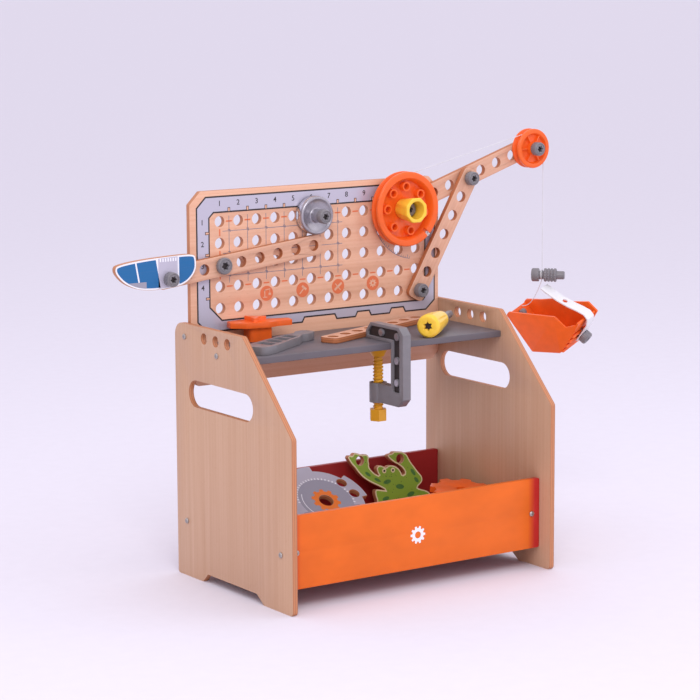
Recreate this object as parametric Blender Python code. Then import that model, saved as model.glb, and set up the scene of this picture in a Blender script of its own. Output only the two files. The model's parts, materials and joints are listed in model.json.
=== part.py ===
"""Toy workbench: plywood side panels, a pegboard, a worktop and a toy box, with a string
crane, a swinging arm, a roller, a screw clamp, and loose tools and box contents.

Blender 4.5, metres, +Z up. Each part is placed with X = 0 at the middle of the bench,
Y = 0 at the rear edges of the side panels (the front is -Y) and Z = 0 at the floor. At the
end the whole assembly is moved so that its origin is the bottom centre of its bounding box.
"""

import math

import bpy
import bmesh
from mathutils import Matrix, Vector
from mathutils.geometry import delaunay_2d_cdt

# ---- Sizes shared by the whole bench
PITCH = 0.025  # from hole to hole, on the pegboard and on every strip
HOLE_R = 0.0064
PLY = 0.0064  # thickness of the plywood
GAP = 0.0003  # between two pieces that touch

# ---- Side panels
HALF_WIDTH = 0.1812  # middle of the bench to the outer face of a side panel
PANEL_DEPTH = 0.2432
PANEL_HEIGHT = 0.2948
PANEL_TOP_DEPTH = 0.1448  # where the level top edge ends and the slant starts
PANEL_FRONT_HEIGHT = 0.1951
FOOT_NOTCH = (0.0552, 0.0659, 0.170, 0.1846)  # depths of its four corners
FOOT_NOTCH_HEIGHT = 0.0103
HANDLE_DEPTH = (0.0450, 0.1506)  # centres of the slot's round ends
HANDLE_R = 0.0156
TOOL_HOLE_DEPTH = 0.0639
TOOL_HOLE_HEIGHT = 0.2822

# ---- Pegboard, worktop and box
BOARD_FRONT = 0.0247  # depth of its front face
BOARD_BOTTOM = 0.221
BOARD_TOP = 0.4439
BOARD_CHAMFER_TOP = 0.0145
BOARD_CHAMFER_BOTTOM = 0.009
COLUMNS = 12
ROWS = 5
FIRST_COLUMN = 0.0465 - HALF_WIDTH
LAST_ROW = 0.3082
WORKTOP_TOP = 0.2702
HANDLE_HEIGHT = WORKTOP_TOP - 0.0536
WORKTOP_THICKNESS = 0.0075
WORKTOP_FRONT = 0.1494
BOX_FRONT = 0.2237
BOX_BOTTOM = 0.0237
BOX_FRONT_TOP = 0.106
BOX_REAR_TOP = 0.1076
SIDE_SCREW_LENGTH = 0.0145
SCREW_HEAD_R = 0.0032
SCREW_HEAD_HEIGHT = 0.0015
SCREW_R = 0.0015

# ---- Toy bolts and nuts
BOLT_R = 0.0054
BOLT_HEAD_R = 0.0083
BOLT_HEAD_HEIGHT = 0.0093
CAP_HEAD_R = 0.0098
CAP_HEAD_HEIGHT = 0.0054
STAR_DEPTH = 0.0035
NUT_R = 0.0086
NUT_HEIGHT = 0.008

# ---- Strips, as numbers of holes, and where they are bolted (column, row)
STRIP_HALF_WIDTH = 0.012
STRIP_OVERHANG = 0.011
ARM_HOLES = 9
ARM_PIVOT_HOLE = 4
ARM_AT = (1, 3)
ARM_TILT = math.radians(6.6)
BOOM_HOLES = 9
BOOM_TILT = math.radians(18.3)
BOOM_STRUT_HOLE = 5
STRUT_HOLES = 7
STRUT_AT = (COLUMNS, 5)
STRUT_LIFT = (0.0008, 0.0020)  # keeps the leaning strut clear of the board and of the boom

# ---- Winch, pulley, string and roller
WINCH_AT = (COLUMNS - 1, 1)
WHEEL_R = 0.0445
WHEEL_THICKNESS = 0.014
DRUM_R = 0.038
WHEEL_WEB = 0.0028
GROOVE = (0.0045, 0.0095)  # from the rear face, the same on both wheels
KNOB_R = (0.0122, 0.0150)  # across flats at its root and at its front
KNOB_LENGTH = 0.0285
KNOB_BORE_R = 0.0105
KNOB_FLOOR = 0.0055
PULLEY_R = 0.024
PULLEY_GROOVE_R = 0.019
PULLEY_HUB = 0.0168
STRING_R = 0.00045
ROLLER_AT = (6, 1)
ROLLER_R = 0.0225
ROLLER_THICKNESS = 0.014
ROLLER_HUB = 0.022

# ---- Hanger and bucket
HANGER_HEIGHT = 0.3125
HANGER_DIRECTION = Vector((0.70, -0.714, 0.0)).normalized()
HANGER_STRING_AT = 0.0075  # from the middle of the hanger back to the string
BUCKET_AT = Vector((FIRST_COLUMN + 0.4677, -0.0385, 0.2500))
BUCKET_WIDTH_DIRECTION = Vector((0.908, 0.317, 0.272)).normalized()
BUCKET_HALF_WIDTH = 0.022
BUCKET_WALL = 0.0026

# ---- Clamp
CLAMP_X = 0.0206
CLAMP_THICKNESS = 0.011
CLAMP_SCREW_DEPTH = WORKTOP_FRONT - 0.0324
CLAMP_SCREW_R = 0.0062
THREAD_PITCH = 0.004

# ---- Tools on the worktop and things in the box
LOOSE_HOLES = 8
DRIVER_R = 0.0138
DRIVER_HANDLE = 0.062
DRIVER_SHAFT = 0.044
SPANNER_THICKNESS = 0.009
FROG_LEAN = math.radians(8)
FROG_FOOT = 0.0470  # depth where it stands on the box floor
FROG_HOLES = ((0.0463, 0.1098), (0.1045, 0.1054))
FROG_HOLE_R = 0.0056
PLATE_X = -0.0299
PLATE_FOOT = 0.1481
PLATE_TILT = math.radians(33)
PLATE_MIDDLE = 0.0816  # from its foot to the middle of the wheel
PLATE_R = 0.0493
PLATE_STEP = 0.0077  # how far its teeth stand out
PLATE_TOOTH = 40  # angle of one tooth, in degrees
PLATE_STEM = 0.0430
PLATE_BORE_R = 0.0088
PLATE_HOLES_R = 0.0425

INNER = HALF_WIDTH - PLY  # middle of the bench to the inner face of a side panel
INSIDE = INNER - GAP  # half the width of whatever fits between the side panels
BOX_FLOOR_TOP = BOX_BOTTOM + PLY
CLEAR_SCREW_R = SCREW_R + 0.0003

COLOURS = {  # base colour, roughness, metallic
    "plywood": ((0.62, 0.42, 0.27), 0.55, 0.0),
    "board_print": ((0.72, 0.43, 0.25), 0.5, 0.0),
    "worktop_grey": ((0.13, 0.13, 0.14), 0.45, 0.0),
    "orange_paint": ((0.86, 0.20, 0.03), 0.4, 0.0),
    "red_paint": ((0.33, 0.03, 0.03), 0.5, 0.0),
    "screw_steel": ((0.45, 0.45, 0.46), 0.35, 1.0),
    "grey_plastic": ((0.22, 0.22, 0.23), 0.4, 0.0),
    "orange_plastic": ((0.90, 0.13, 0.02), 0.35, 0.0),
    "yellow_plastic": ((0.92, 0.56, 0.04), 0.35, 0.0),
    "white_plastic": ((0.80, 0.80, 0.82), 0.4, 0.0),
    "string": ((0.75, 0.75, 0.77), 0.9, 0.0),
    "blue_print": ((0.02, 0.28, 0.60), 0.45, 0.0),
    "green_print": ((0.22, 0.46, 0.06), 0.45, 0.0),
    "grey_print": ((0.45, 0.45, 0.52), 0.45, 0.0),
}


# ---- Scene and materials


def clear_scene():
    for obj in list(bpy.data.objects):
        bpy.data.objects.remove(obj, do_unlink=True)


def make_collection(name):
    collection = bpy.data.collections.new(name)
    bpy.context.scene.collection.children.link(collection)
    return collection


def material_for(node, slot):
    colour, roughness, metallic = COLOURS[slot]
    made = bpy.data.materials.new(node + "_" + slot)
    made.use_nodes = True
    shader = made.node_tree.nodes["Principled BSDF"]
    shader.inputs["Base Color"].default_value = (*colour, 1.0)
    shader.inputs["Roughness"].default_value = roughness
    shader.inputs["Metallic"].default_value = metallic
    return made


clear_scene()
PARTS = make_collection("toy_workbench")
CUTTERS = make_collection("toy_workbench_cutters")
CUTTERS.hide_render = True
ROOT = bpy.data.objects.new("toy_workbench_root", None)
PARTS.objects.link(ROOT)


# ---- Frames


def frame(origin, x_axis, z_axis):
    """A frame with this x axis, and a z axis as near to z_axis as it can be."""
    x = Vector(x_axis).normalized()
    y = Vector(z_axis).cross(x).normalized()
    z = x.cross(y)
    return Matrix.Translation(origin) @ Matrix((x, y, z)).transposed().to_4x4()


def facing_front(x, depth, z, tilt=0.0):
    """Local x is to the right, local y up and local z to the front, turned by tilt."""
    x_axis = (math.cos(tilt), 0, math.sin(tilt))
    return frame((x, -depth, z), x_axis, (0, -1, 0))


def peg(column, row):
    """The x and z of a pegboard hole. Column 1 is at the left, and row 1 at the top."""
    return FIRST_COLUMN + PITCH * (column - 1), LAST_ROW + PITCH * (ROWS - row)


def layer(number):
    """The depth of the rear face of a ply layer. Layer 0 lies against the pegboard."""
    return BOARD_FRONT + GAP + number * (PLY + GAP)


# ---- Outlines


def circle(x, y, radius, sides):
    turns = [2 * math.pi * i / sides for i in range(sides)]
    return [(x + radius * math.cos(t), y + radius * math.sin(t)) for t in turns]


def rounded(corners, radii, steps=4):
    """The polygon with each corner replaced by an arc of its radius, or left when it is 0."""
    points = []
    count = len(corners)
    for i, corner in enumerate(corners):
        here = Vector(corner)
        radius = radii[i] if isinstance(radii, (list, tuple)) else radii
        back = (Vector(corners[i - 1]) - here).normalized()
        on = (Vector(corners[(i + 1) % count]) - here).normalized()
        half = back.angle(on) / 2
        if radius == 0 or half > 1.55:
            points.append(tuple(here))
            continue
        centre = here + (back + on).normalized() * radius / math.sin(half)
        start = here + back * radius / math.tan(half) - centre
        sweep = start.angle_signed(here + on * radius / math.tan(half) - centre)
        for step in range(steps + 1):
            turn = Matrix.Rotation(-sweep * step / steps, 2)
            points.append(tuple(centre + turn @ start))
    return points


def rectangle(x0, y0, x1, y1):
    return [(x0, y0), (x1, y0), (x1, y1), (x0, y1)]


def slot(x0, x1, y, radius, steps=8):
    corners = rectangle(x0 - radius, y - radius, x1 + radius, y + radius)
    return rounded(corners, radius * 0.999, steps)


def smooth(points, rounds=2):
    """Cuts every corner, twice over by default."""
    for _ in range(rounds):
        pairs = zip(points, points[1:] + points[:1])
        cut = []
        for (ax, ay), (bx, by) in pairs:
            cut.append((0.75 * ax + 0.25 * bx, 0.75 * ay + 0.25 * by))
            cut.append((0.25 * ax + 0.75 * bx, 0.25 * ay + 0.75 * by))
        points = cut
    return points


def star(radius, inner, lobes=6):
    points = []
    for i in range(2 * lobes):
        reach = inner if i % 2 else radius
        turn = 0.11 + math.pi * i / lobes
        points.append((reach * math.cos(turn), reach * math.sin(turn)))
    return points


def toothed(root, tip, teeth):
    points = []
    for i in range(teeth):
        for offset, reach in ((-0.30, root), (-0.20, tip), (0.20, tip), (0.30, root)):
            turn = 2 * math.pi * (i + offset) / teeth
            points.append((reach * math.cos(turn), reach * math.sin(turn)))
    return points


# ---- Solids


def add(name, points, faces, slot_name, place):
    mesh = bpy.data.meshes.new(name)
    mesh.from_pydata(points, [], faces)
    soup = bmesh.new()
    soup.from_mesh(mesh)
    bmesh.ops.recalc_face_normals(soup, faces=soup.faces[:])
    soup.to_mesh(mesh)
    soup.free()
    obj = bpy.data.objects.new(name, mesh)
    obj.parent = ROOT
    obj.matrix_local = place
    if slot_name is None:
        CUTTERS.objects.link(obj)
        obj.hide_render = True
        obj.display_type = "WIRE"
    else:
        PARTS.objects.link(obj)
        mesh.materials.append(material_for(name, slot_name))
    return obj


def within(point, sides):
    """Whether the point lies inside the sides, which may be several loops, by counting."""
    crossed = 0
    for start, end in sides:
        if (start.y > point.y) != (end.y > point.y):
            share = (point.y - start.y) / (end.y - start.y)
            crossed += start.x + share * (end.x - start.x) > point.x
    return crossed % 2 == 1


def slab(name, outline, thickness, slot_name, place, holes=()):
    """A flat piece: the outline less its holes in local XY, from z = 0 to the thickness."""
    flat = []
    edges = []
    for loop in (outline, *holes):
        first = len(flat)
        flat += [Vector(point) for point in loop]
        edges += [(first + i, first + (i + 1) % len(loop)) for i in range(len(loop))]
    found = delaunay_2d_cdt(flat, edges, [], 0, 1e-9)
    place_of = {source: i for i, sources in enumerate(found[3]) for source in sources}
    count = len(found[0])
    points = [(x, y, z) for z in (0, thickness) for x, y in found[0]]
    faces = []
    for a, b, c in found[2]:
        middle = (found[0][a] + found[0][b] + found[0][c]) / 3
        if within(middle, [(flat[start], flat[end]) for start, end in edges]):
            faces += [(c, b, a), (a + count, b + count, c + count)]
    for start, end in edges:
        a, b = place_of[start], place_of[end]
        faces.append((a, b, b + count, a + count))
    return add(name, points, faces, slot_name, place)


def lathe(name, profile, sides, slot_name, place):
    """Turns a profile of (radius, z) round local z. It is a loop unless it starts on the axis."""
    points = []
    rings = []
    for radius, z in profile:
        first = len(points)
        if radius == 0:
            points.append((0, 0, z))
            rings.append([first] * sides)
        else:
            points += [(x, y, z) for x, y in circle(0, 0, radius, sides)]
            rings.append(list(range(first, first + sides)))
    following = rings[1:] + rings[:1] if profile[0][0] > 0 else rings[1:]
    faces = []
    for ring, other in zip(rings, following):
        for i in range(sides):
            j = (i + 1) % sides
            corners = dict.fromkeys((ring[i], ring[j], other[j], other[i]))
            if len(corners) > 2:
                faces.append(tuple(corners))
    return add(name, points, faces, slot_name, place)


def rod(name, radius, z0, z1, sides, slot_name, place):
    return lathe(name, [(0, z0), (radius, z0), (radius, z1), (0, z1)], sides, slot_name, place)


def tube(name, path, radius, slot_name):
    """A round string along a path of world points, with flat ends."""
    curve = bpy.data.curves.new(name, "CURVE")
    curve.dimensions = "3D"
    curve.bevel_depth = radius
    curve.bevel_resolution = 1
    curve.use_fill_caps = True
    line = curve.splines.new("POLY")
    line.points.add(len(path) - 1)
    for point, place in zip(line.points, path):
        point.co = (*place, 1)
    guide = bpy.data.objects.new(name + "_guide", curve)
    CUTTERS.objects.link(guide)
    bpy.context.view_layer.update()
    mesh = bpy.data.meshes.new_from_object(guide)
    bpy.data.objects.remove(guide, do_unlink=True)
    soup = bmesh.new()
    soup.from_mesh(mesh)
    bmesh.ops.remove_doubles(soup, verts=soup.verts[:], dist=1e-6)
    points = [tuple(vert.co) for vert in soup.verts]
    soup.verts.index_update()
    faces = [tuple(vert.index for vert in face.verts) for face in soup.faces]
    soup.free()
    return add(name, points, faces, slot_name, Matrix())


def combine(obj, other, operation):
    step = obj.modifiers.new(other.name, "BOOLEAN")
    step.operation = operation
    step.solver = "EXACT"
    step.object = other


def cut(obj, *cutters):
    for cutter in cutters:
        combine(obj, cutter, "DIFFERENCE")


def join(obj, *others):
    for other in others:
        combine(obj, other, "UNION")


# ---- Fasteners


def side_screw(name, x, depth, z, into):
    """A wood screw through a side panel (x gives the side), into the edge of another piece."""
    outward = 1 if x > 0 else -1
    place = frame((outward * HALF_WIDTH, -depth, z), (0, 1, 0), (outward, 0, 0))
    profile = [
        (0, -SIDE_SCREW_LENGTH),
        (SCREW_R, -SIDE_SCREW_LENGTH + 0.002),
        (SCREW_R, GAP),
        (SCREW_HEAD_R, GAP),
        (SCREW_HEAD_R * 0.8, GAP + SCREW_HEAD_HEIGHT),
        (0, GAP + SCREW_HEAD_HEIGHT),
    ]
    lathe(name, profile, 8, "screw_steel", place)
    deep = -SIDE_SCREW_LENGTH - 0.001
    cutter = rod(name + "_hole", CLEAR_SCREW_R, deep, 0.002, 10, None, place)
    cut(into, cutter)


def bolt(name, place, grip, head_r=BOLT_HEAD_R, head_height=BOLT_HEAD_HEIGHT, end=0.0012):
    """A toy bolt. Its head stands on local z = 0, and its shank goes down through the grip."""
    tail = -grip - NUT_HEIGHT - end
    profile = [
        (0, tail),
        (BOLT_R * 0.82, tail),
        (BOLT_R, tail + 0.001),
        (BOLT_R, 0),
        (head_r - 0.0005, 0),
        (head_r, 0.0006),
        (head_r, head_height - 0.0010),
        (head_r - 0.0010, head_height),
        (0, head_height),
    ]
    made = lathe(name, profile, 14, "grey_plastic", place)
    above = place @ Matrix.Translation((0, 0, head_height - STAR_DEPTH))
    recess = star(head_r * 0.62, head_r * 0.36)
    cut(made, slab(name + "_star", recess, STAR_DEPTH + 0.001, None, above))
    return made


def nut(name, place, height=NUT_HEIGHT):
    """A ribbed nut from local z = 0 down to -height."""
    bore = BOLT_R + 0.0005
    outline = []
    for i in range(16):
        reach = NUT_R if i % 2 else NUT_R - 0.0007
        turn = 2 * math.pi * i / 16
        outline.append((reach * math.cos(turn), reach * math.sin(turn)))
    below = place @ Matrix.Translation((0, 0, -height))
    return slab(name, outline, height, "grey_plastic", below, [circle(0, 0, bore, 12)])


def fasten(name, x, z, front, rear, **head):
    """A bolt and nut that face the front, gripping from depth front back to depth rear."""
    grip = front - rear + 2 * GAP
    bolt(name + "_bolt", facing_front(x, front + GAP, z), grip, **head)
    nut(name + "_nut", facing_front(x, rear - GAP, z))


# ---- Bench structure


def side_panel(name, sign):
    corners = [
        (0, 0),
        (FOOT_NOTCH[0], 0),
        (FOOT_NOTCH[1], FOOT_NOTCH_HEIGHT),
        (FOOT_NOTCH[2], FOOT_NOTCH_HEIGHT),
        (FOOT_NOTCH[3], 0),
        (PANEL_DEPTH, 0),
        (PANEL_DEPTH, PANEL_FRONT_HEIGHT),
        (PANEL_TOP_DEPTH, PANEL_HEIGHT),
        (0, PANEL_HEIGHT),
    ]
    radii = [0.004, 0.002, 0.003, 0.003, 0.002, 0.005, 0.006, 0.006, 0.015]
    holes = [slot(*HANDLE_DEPTH, HANDLE_HEIGHT, HANDLE_R)]
    for i in range(3):
        holes.append(circle(TOOL_HOLE_DEPTH + PITCH * i, TOOL_HOLE_HEIGHT, HOLE_R, 18))
    for _, depth, z, _ in SIDE_SCREWS:
        holes.append(circle(depth, z, CLEAR_SCREW_R, 10))
    outer = HALF_WIDTH if sign > 0 else -INNER
    place = frame((outer, 0, 0), (0, -1, 0), (-1, 0, 0))
    return slab(name, rounded(corners, radii), PLY, "plywood", place, holes)


BOARD_MIDDLE = BOARD_FRONT - PLY / 2
SIDE_SCREWS = (  # name, depth, height, and the piece that it holds
    ("board", BOARD_MIDDLE, 0.2796, "pegboard"),
    ("worktop", 0.0913, WORKTOP_TOP - WORKTOP_THICKNESS / 2, "worktop"),
    ("rear", BOARD_MIDDLE, 0.0649, "box_rear_panel"),
    ("front", BOX_FRONT - PLY / 2, 0.0644, "box_front_panel"),
)

left_side_panel = side_panel("left_side_panel", -1)
right_side_panel = side_panel("right_side_panel", 1)

board_outline = rounded(
    [
        (-INSIDE + BOARD_CHAMFER_BOTTOM, BOARD_BOTTOM),
        (INSIDE - BOARD_CHAMFER_BOTTOM, BOARD_BOTTOM),
        (INSIDE, BOARD_BOTTOM + BOARD_CHAMFER_BOTTOM),
        (INSIDE, BOARD_TOP - BOARD_CHAMFER_TOP),
        (INSIDE - BOARD_CHAMFER_TOP, BOARD_TOP),
        (-INSIDE + BOARD_CHAMFER_TOP, BOARD_TOP),
        (-INSIDE, BOARD_TOP - BOARD_CHAMFER_TOP),
        (-INSIDE, BOARD_BOTTOM + BOARD_CHAMFER_BOTTOM),
    ],
    0.003,
    2,
)
pegs = [peg(c, r) for c in range(1, COLUMNS + 1) for r in range(1, ROWS + 1)]
board_place = facing_front(0, BOARD_FRONT - PLY, 0)
board_holes = [circle(x, z, HOLE_R, 12) for x, z in pegs]
held = {
    "pegboard": slab("pegboard", board_outline, PLY, "board_print", board_place, board_holes)
}

worktop_outline = rectangle(-INSIDE, -WORKTOP_FRONT, INSIDE, -BOARD_FRONT - GAP)
worktop_place = Matrix.Translation((0, 0, WORKTOP_TOP - WORKTOP_THICKNESS))
held["worktop"] = slab(
    "worktop", worktop_outline, WORKTOP_THICKNESS, "worktop_grey", worktop_place
)

FRONT_SCREW_X = HALF_WIDTH - 0.0179
FRONT_SCREW_HEIGHT = 0.0648
front_holes = [circle(s * FRONT_SCREW_X, FRONT_SCREW_HEIGHT, CLEAR_SCREW_R, 10) for s in (-1, 1)]
held["box_front_panel"] = slab(
    "box_front_panel",
    rounded(rectangle(-INSIDE, BOX_BOTTOM, INSIDE, BOX_FRONT_TOP), 0.002, 2),
    PLY,
    "orange_paint",
    facing_front(0, BOX_FRONT - PLY, 0),
    front_holes,
)
held["box_rear_panel"] = slab(
    "box_rear_panel",
    rounded(rectangle(-INSIDE, BOX_BOTTOM, INSIDE, BOX_REAR_TOP), 0.002, 2),
    PLY,
    "red_paint",
    facing_front(0, BOARD_FRONT - PLY, 0),
)
slab(
    "box_floor",
    rectangle(-INSIDE, -BOX_FRONT + PLY + GAP, INSIDE, -BOARD_FRONT - GAP),
    PLY,
    "red_paint",
    Matrix.Translation((0, 0, BOX_BOTTOM)),
)

for side, sign in (("left", -1), ("right", 1)):
    for what, depth, z, into in SIDE_SCREWS:
        side_screw(f"{side}_{what}_screw", sign, depth, z, held[into])
    short = [
        (0, -PLY),
        (SCREW_R, -PLY),
        (SCREW_R, GAP),
        (SCREW_HEAD_R, GAP),
        (SCREW_HEAD_R * 0.8, GAP + SCREW_HEAD_HEIGHT),
        (0, GAP + SCREW_HEAD_HEIGHT),
    ]
    place = facing_front(sign * FRONT_SCREW_X, BOX_FRONT, FRONT_SCREW_HEIGHT)
    lathe(f"box_{side}_screw", short, 8, "screw_steel", place)


# ---- Strips


def strip(name, count, place, pivot_hole=1):
    """A ply strip with a row of holes. Local zero is its pivot hole, at the rear face."""
    start = -(pivot_hole - 1) * PITCH
    end = start + (count - 1) * PITCH
    half = STRIP_HALF_WIDTH
    corners = rectangle(start - STRIP_OVERHANG, -half, end + STRIP_OVERHANG, half)
    holes = [circle(start + PITCH * i, 0, HOLE_R, 14) for i in range(count)]
    return slab(name, rounded(corners, 0.006, 3), PLY, "plywood", place, holes)


def along(x, z, tilt, distance):
    return x + distance * math.cos(tilt), z + distance * math.sin(tilt)


ARM_X, ARM_Z = peg(*ARM_AT)
REAR_OF_BOARD = BOARD_FRONT - PLY
strip("arm_strip", ARM_HOLES, facing_front(ARM_X, layer(0), ARM_Z, ARM_TILT), ARM_PIVOT_HOLE)
fasten(
    "arm",
    ARM_X,
    ARM_Z,
    layer(0) + PLY,
    REAR_OF_BOARD,
    head_r=CAP_HEAD_R,
    head_height=CAP_HEAD_HEIGHT,
)

# The shuttle turns on the first hole of the arm. Its outline is measured from that hole.
SHUTTLE_X, SHUTTLE_Z = along(ARM_X, ARM_Z, ARM_TILT, -PITCH * (ARM_PIVOT_HOLE - 1))
shuttle_outline = smooth(
    [
        (-0.0700, 0.0165),
        (-0.0660, 0.0205),
        (-0.0350, 0.0243),
        (0.0080, 0.0262),
        (0.0300, 0.0264),
        (0.0348, 0.0225),
        (0.0350, 0.0070),
        (0.0235, -0.0055),
        (0.0080, -0.0102),
        (-0.0330, -0.0115),
        (-0.0560, -0.0030),
        (-0.0680, 0.0090),
    ],
    2,
)
shuttle_place = facing_front(SHUTTLE_X, layer(1), SHUTTLE_Z)
slab(
    "shuttle",
    shuttle_outline,
    PLY,
    "blue_print",
    shuttle_place,
    [circle(0, 0, HOLE_R, 16)],
)
fasten("shuttle", SHUTTLE_X, SHUTTLE_Z, layer(1) + PLY, layer(0))


# ---- Crane: boom, strut, winch, pulley and string

WINCH_X, WINCH_Z = peg(*WINCH_AT)
STRUT_X, STRUT_Z = peg(*STRUT_AT)
TIP_X, TIP_Z = along(WINCH_X, WINCH_Z, BOOM_TILT, PITCH * (BOOM_HOLES - 1))
JOIN_X, JOIN_Z = along(WINCH_X, WINCH_Z, BOOM_TILT, PITCH * (BOOM_STRUT_HOLE - 1))

strip("boom", BOOM_HOLES, facing_front(WINCH_X, layer(0), WINCH_Z, BOOM_TILT))

# The strut leans out from the board to lie on the boom. The load takes up the play in its
# holes, so its end holes sit the same small distance off the two bolts.
foot = Vector((STRUT_X, -layer(0) - STRUT_LIFT[0], STRUT_Z))
top = Vector((JOIN_X, -layer(1) - STRUT_LIFT[1], JOIN_Z))
lean = (top - foot).normalized()
play = (PITCH * (STRUT_HOLES - 1) - (top - foot).length) / 2
strip("strut", STRUT_HOLES, frame(foot - lean * play, lean, (0, -1, 0)))
foot_front = layer(0) + PLY + STRUT_LIFT[0] + 0.0006
fasten("strut_foot", STRUT_X, STRUT_Z, foot_front, REAR_OF_BOARD)
fasten("strut_top", JOIN_X, JOIN_Z, layer(1) + PLY + STRUT_LIFT[1] + 0.0006, layer(0))

WHEEL_REAR = layer(1)
winch_place = facing_front(WINCH_X, WHEEL_REAR, WINCH_Z)
DISH_R = DRUM_R - 0.0028
winch_wheel = lathe(
    "winch_wheel",
    [
        (BOLT_R + 0.0005, 0),
        (WHEEL_R - 0.001, 0),
        (WHEEL_R, 0.001),
        (WHEEL_R, GROOVE[0] - 0.0015),
        (DRUM_R, GROOVE[0]),
        (DRUM_R, GROOVE[1]),
        (WHEEL_R, GROOVE[1] + 0.0012),
        (WHEEL_R, WHEEL_THICKNESS - 0.001),
        (WHEEL_R - 0.001, WHEEL_THICKNESS),
        (DISH_R + 0.0022, WHEEL_THICKNESS),
        (DISH_R, WHEEL_THICKNESS - 0.0028),
        (DISH_R - 0.0015, WHEEL_WEB),
        (BOLT_R + 0.0005, WHEEL_WEB),
    ],
    36,
    "orange_plastic",
    winch_place,
)
BOSS_TURNS = (90, 39, -12, -76, -130, 178, 134)
BOSS_DISTANCE = 0.0268
BOSS_R = 0.0056
for number, degrees in enumerate(BOSS_TURNS):
    turn = math.radians(degrees)
    x, y = BOSS_DISTANCE * math.cos(turn), BOSS_DISTANCE * math.sin(turn)
    boss_place = winch_place @ Matrix.Translation((x, y, WHEEL_WEB - 0.001))
    ring = [circle(0, 0, BOSS_R - 0.0018, 10)]
    outline = circle(0, 0, BOSS_R, 10)
    join(winch_wheel, slab(f"winch_boss_{number}", outline, 0.0085, None, boss_place, ring))
KNOT_TURN = math.radians(-47)
notch_place = winch_place @ Matrix.Rotation(KNOT_TURN, 4, "Z")
notch = rectangle(DISH_R - 0.003, -0.0022, WHEEL_R + 0.002, 0.0022)
notch_place = notch_place @ Matrix.Translation((0, 0, GROOVE[1] - 0.001))
cut(winch_wheel, slab("winch_notch", notch, 0.01, None, notch_place))

knob_place = winch_place @ Matrix.Translation((0, 0, WHEEL_WEB + GAP))
winch_knob = lathe(
    "winch_knob",
    [
        (0, 0),
        (KNOB_R[0], 0),
        (KNOB_R[1], KNOB_LENGTH - 0.004),
        (KNOB_R[1], KNOB_LENGTH - 0.001),
        (KNOB_R[1] - 0.001, KNOB_LENGTH),
        (0, KNOB_LENGTH),
    ],
    8,
    "yellow_plastic",
    knob_place,
)
cut(
    winch_knob,
    rod("knob_bore", KNOB_BORE_R, KNOB_FLOOR, KNOB_LENGTH + 0.001, 20, None, knob_place),
    rod("knob_hole", BOLT_R + 0.0005, -0.001, KNOB_FLOOR + 0.001, 16, None, knob_place),
)
fasten("winch", WINCH_X, WINCH_Z, WHEEL_REAR + WHEEL_WEB + GAP + KNOB_FLOOR, REAR_OF_BOARD)

pulley_place = facing_front(TIP_X, WHEEL_REAR, TIP_Z)
PULLEY_DISH_R = PULLEY_GROOVE_R - 0.0022
PULLEY_FLOOR = 0.0095
PULLEY_HUB_R = 0.0085
pulley = lathe(
    "pulley",
    [
        (BOLT_R + 0.0005, 0),
        (PULLEY_R - 0.001, 0),
        (PULLEY_R, 0.001),
        (PULLEY_R, GROOVE[0] - 0.0015),
        (PULLEY_GROOVE_R, GROOVE[0]),
        (PULLEY_GROOVE_R, GROOVE[1]),
        (PULLEY_R, GROOVE[1] + 0.0012),
        (PULLEY_R, WHEEL_THICKNESS - 0.001),
        (PULLEY_R - 0.001, WHEEL_THICKNESS),
        (PULLEY_DISH_R + 0.002, WHEEL_THICKNESS),
        (PULLEY_DISH_R, PULLEY_FLOOR),
        (PULLEY_HUB_R, PULLEY_FLOOR),
        (PULLEY_HUB_R, PULLEY_HUB),
        (BOLT_R + 0.0005, PULLEY_HUB),
    ],
    32,
    "orange_plastic",
    pulley_place,
)
for number in range(6):
    rib = rectangle(PULLEY_HUB_R - 0.001, -0.0007, PULLEY_DISH_R + 0.001, 0.0007)
    rib_place = pulley_place @ Matrix.Rotation(number * math.pi / 3, 4, "Z")
    rib_place = rib_place @ Matrix.Translation((0, 0, PULLEY_FLOOR - 0.001))
    join(pulley, slab(f"pulley_rib_{number}", rib, 0.0045, None, rib_place))
fasten("pulley", TIP_X, TIP_Z, WHEEL_REAR + PULLEY_HUB, layer(0))

# The string leaves the top of the drum, and runs over the pulley to hang from its right side.
STRING_DEPTH = WHEEL_REAR + (GROOVE[0] + GROOVE[1]) / 2
STRING_OFF = STRING_R + 0.0003
drum_path_r = DRUM_R + STRING_OFF
pulley_path_r = PULLEY_GROOVE_R + STRING_OFF
across = math.hypot(TIP_X - WINCH_X, TIP_Z - WINCH_Z)
string_tilt = BOOM_TILT - math.asin((drum_path_r - pulley_path_r) / across)
string_path = []
for i in range(28):
    turn = string_tilt + math.pi / 2 + math.radians(200 - 200 * i / 27)
    x, z = along(WINCH_X, WINCH_Z, turn, drum_path_r)
    string_path.append((x, -STRING_DEPTH, z))
for i in range(12):
    turn = (string_tilt + math.pi / 2) * (1 - i / 11)
    x, z = along(TIP_X, TIP_Z, turn, pulley_path_r)
    string_path.append((x, -STRING_DEPTH, z))
tube("hoist_string", string_path, STRING_R, "string")

DROP_X = TIP_X + pulley_path_r
DROP_TOP = TIP_Z - GAP
HANGER_GROOVE_R = BOLT_R + 0.0003
drop_path = [
    (DROP_X, -STRING_DEPTH, DROP_TOP),
    (DROP_X, -STRING_DEPTH, HANGER_HEIGHT + HANGER_GROOVE_R + 0.0001),
]
tube("drop_string", drop_path, STRING_R, "string")

# ---- Roller on the pegboard

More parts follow.
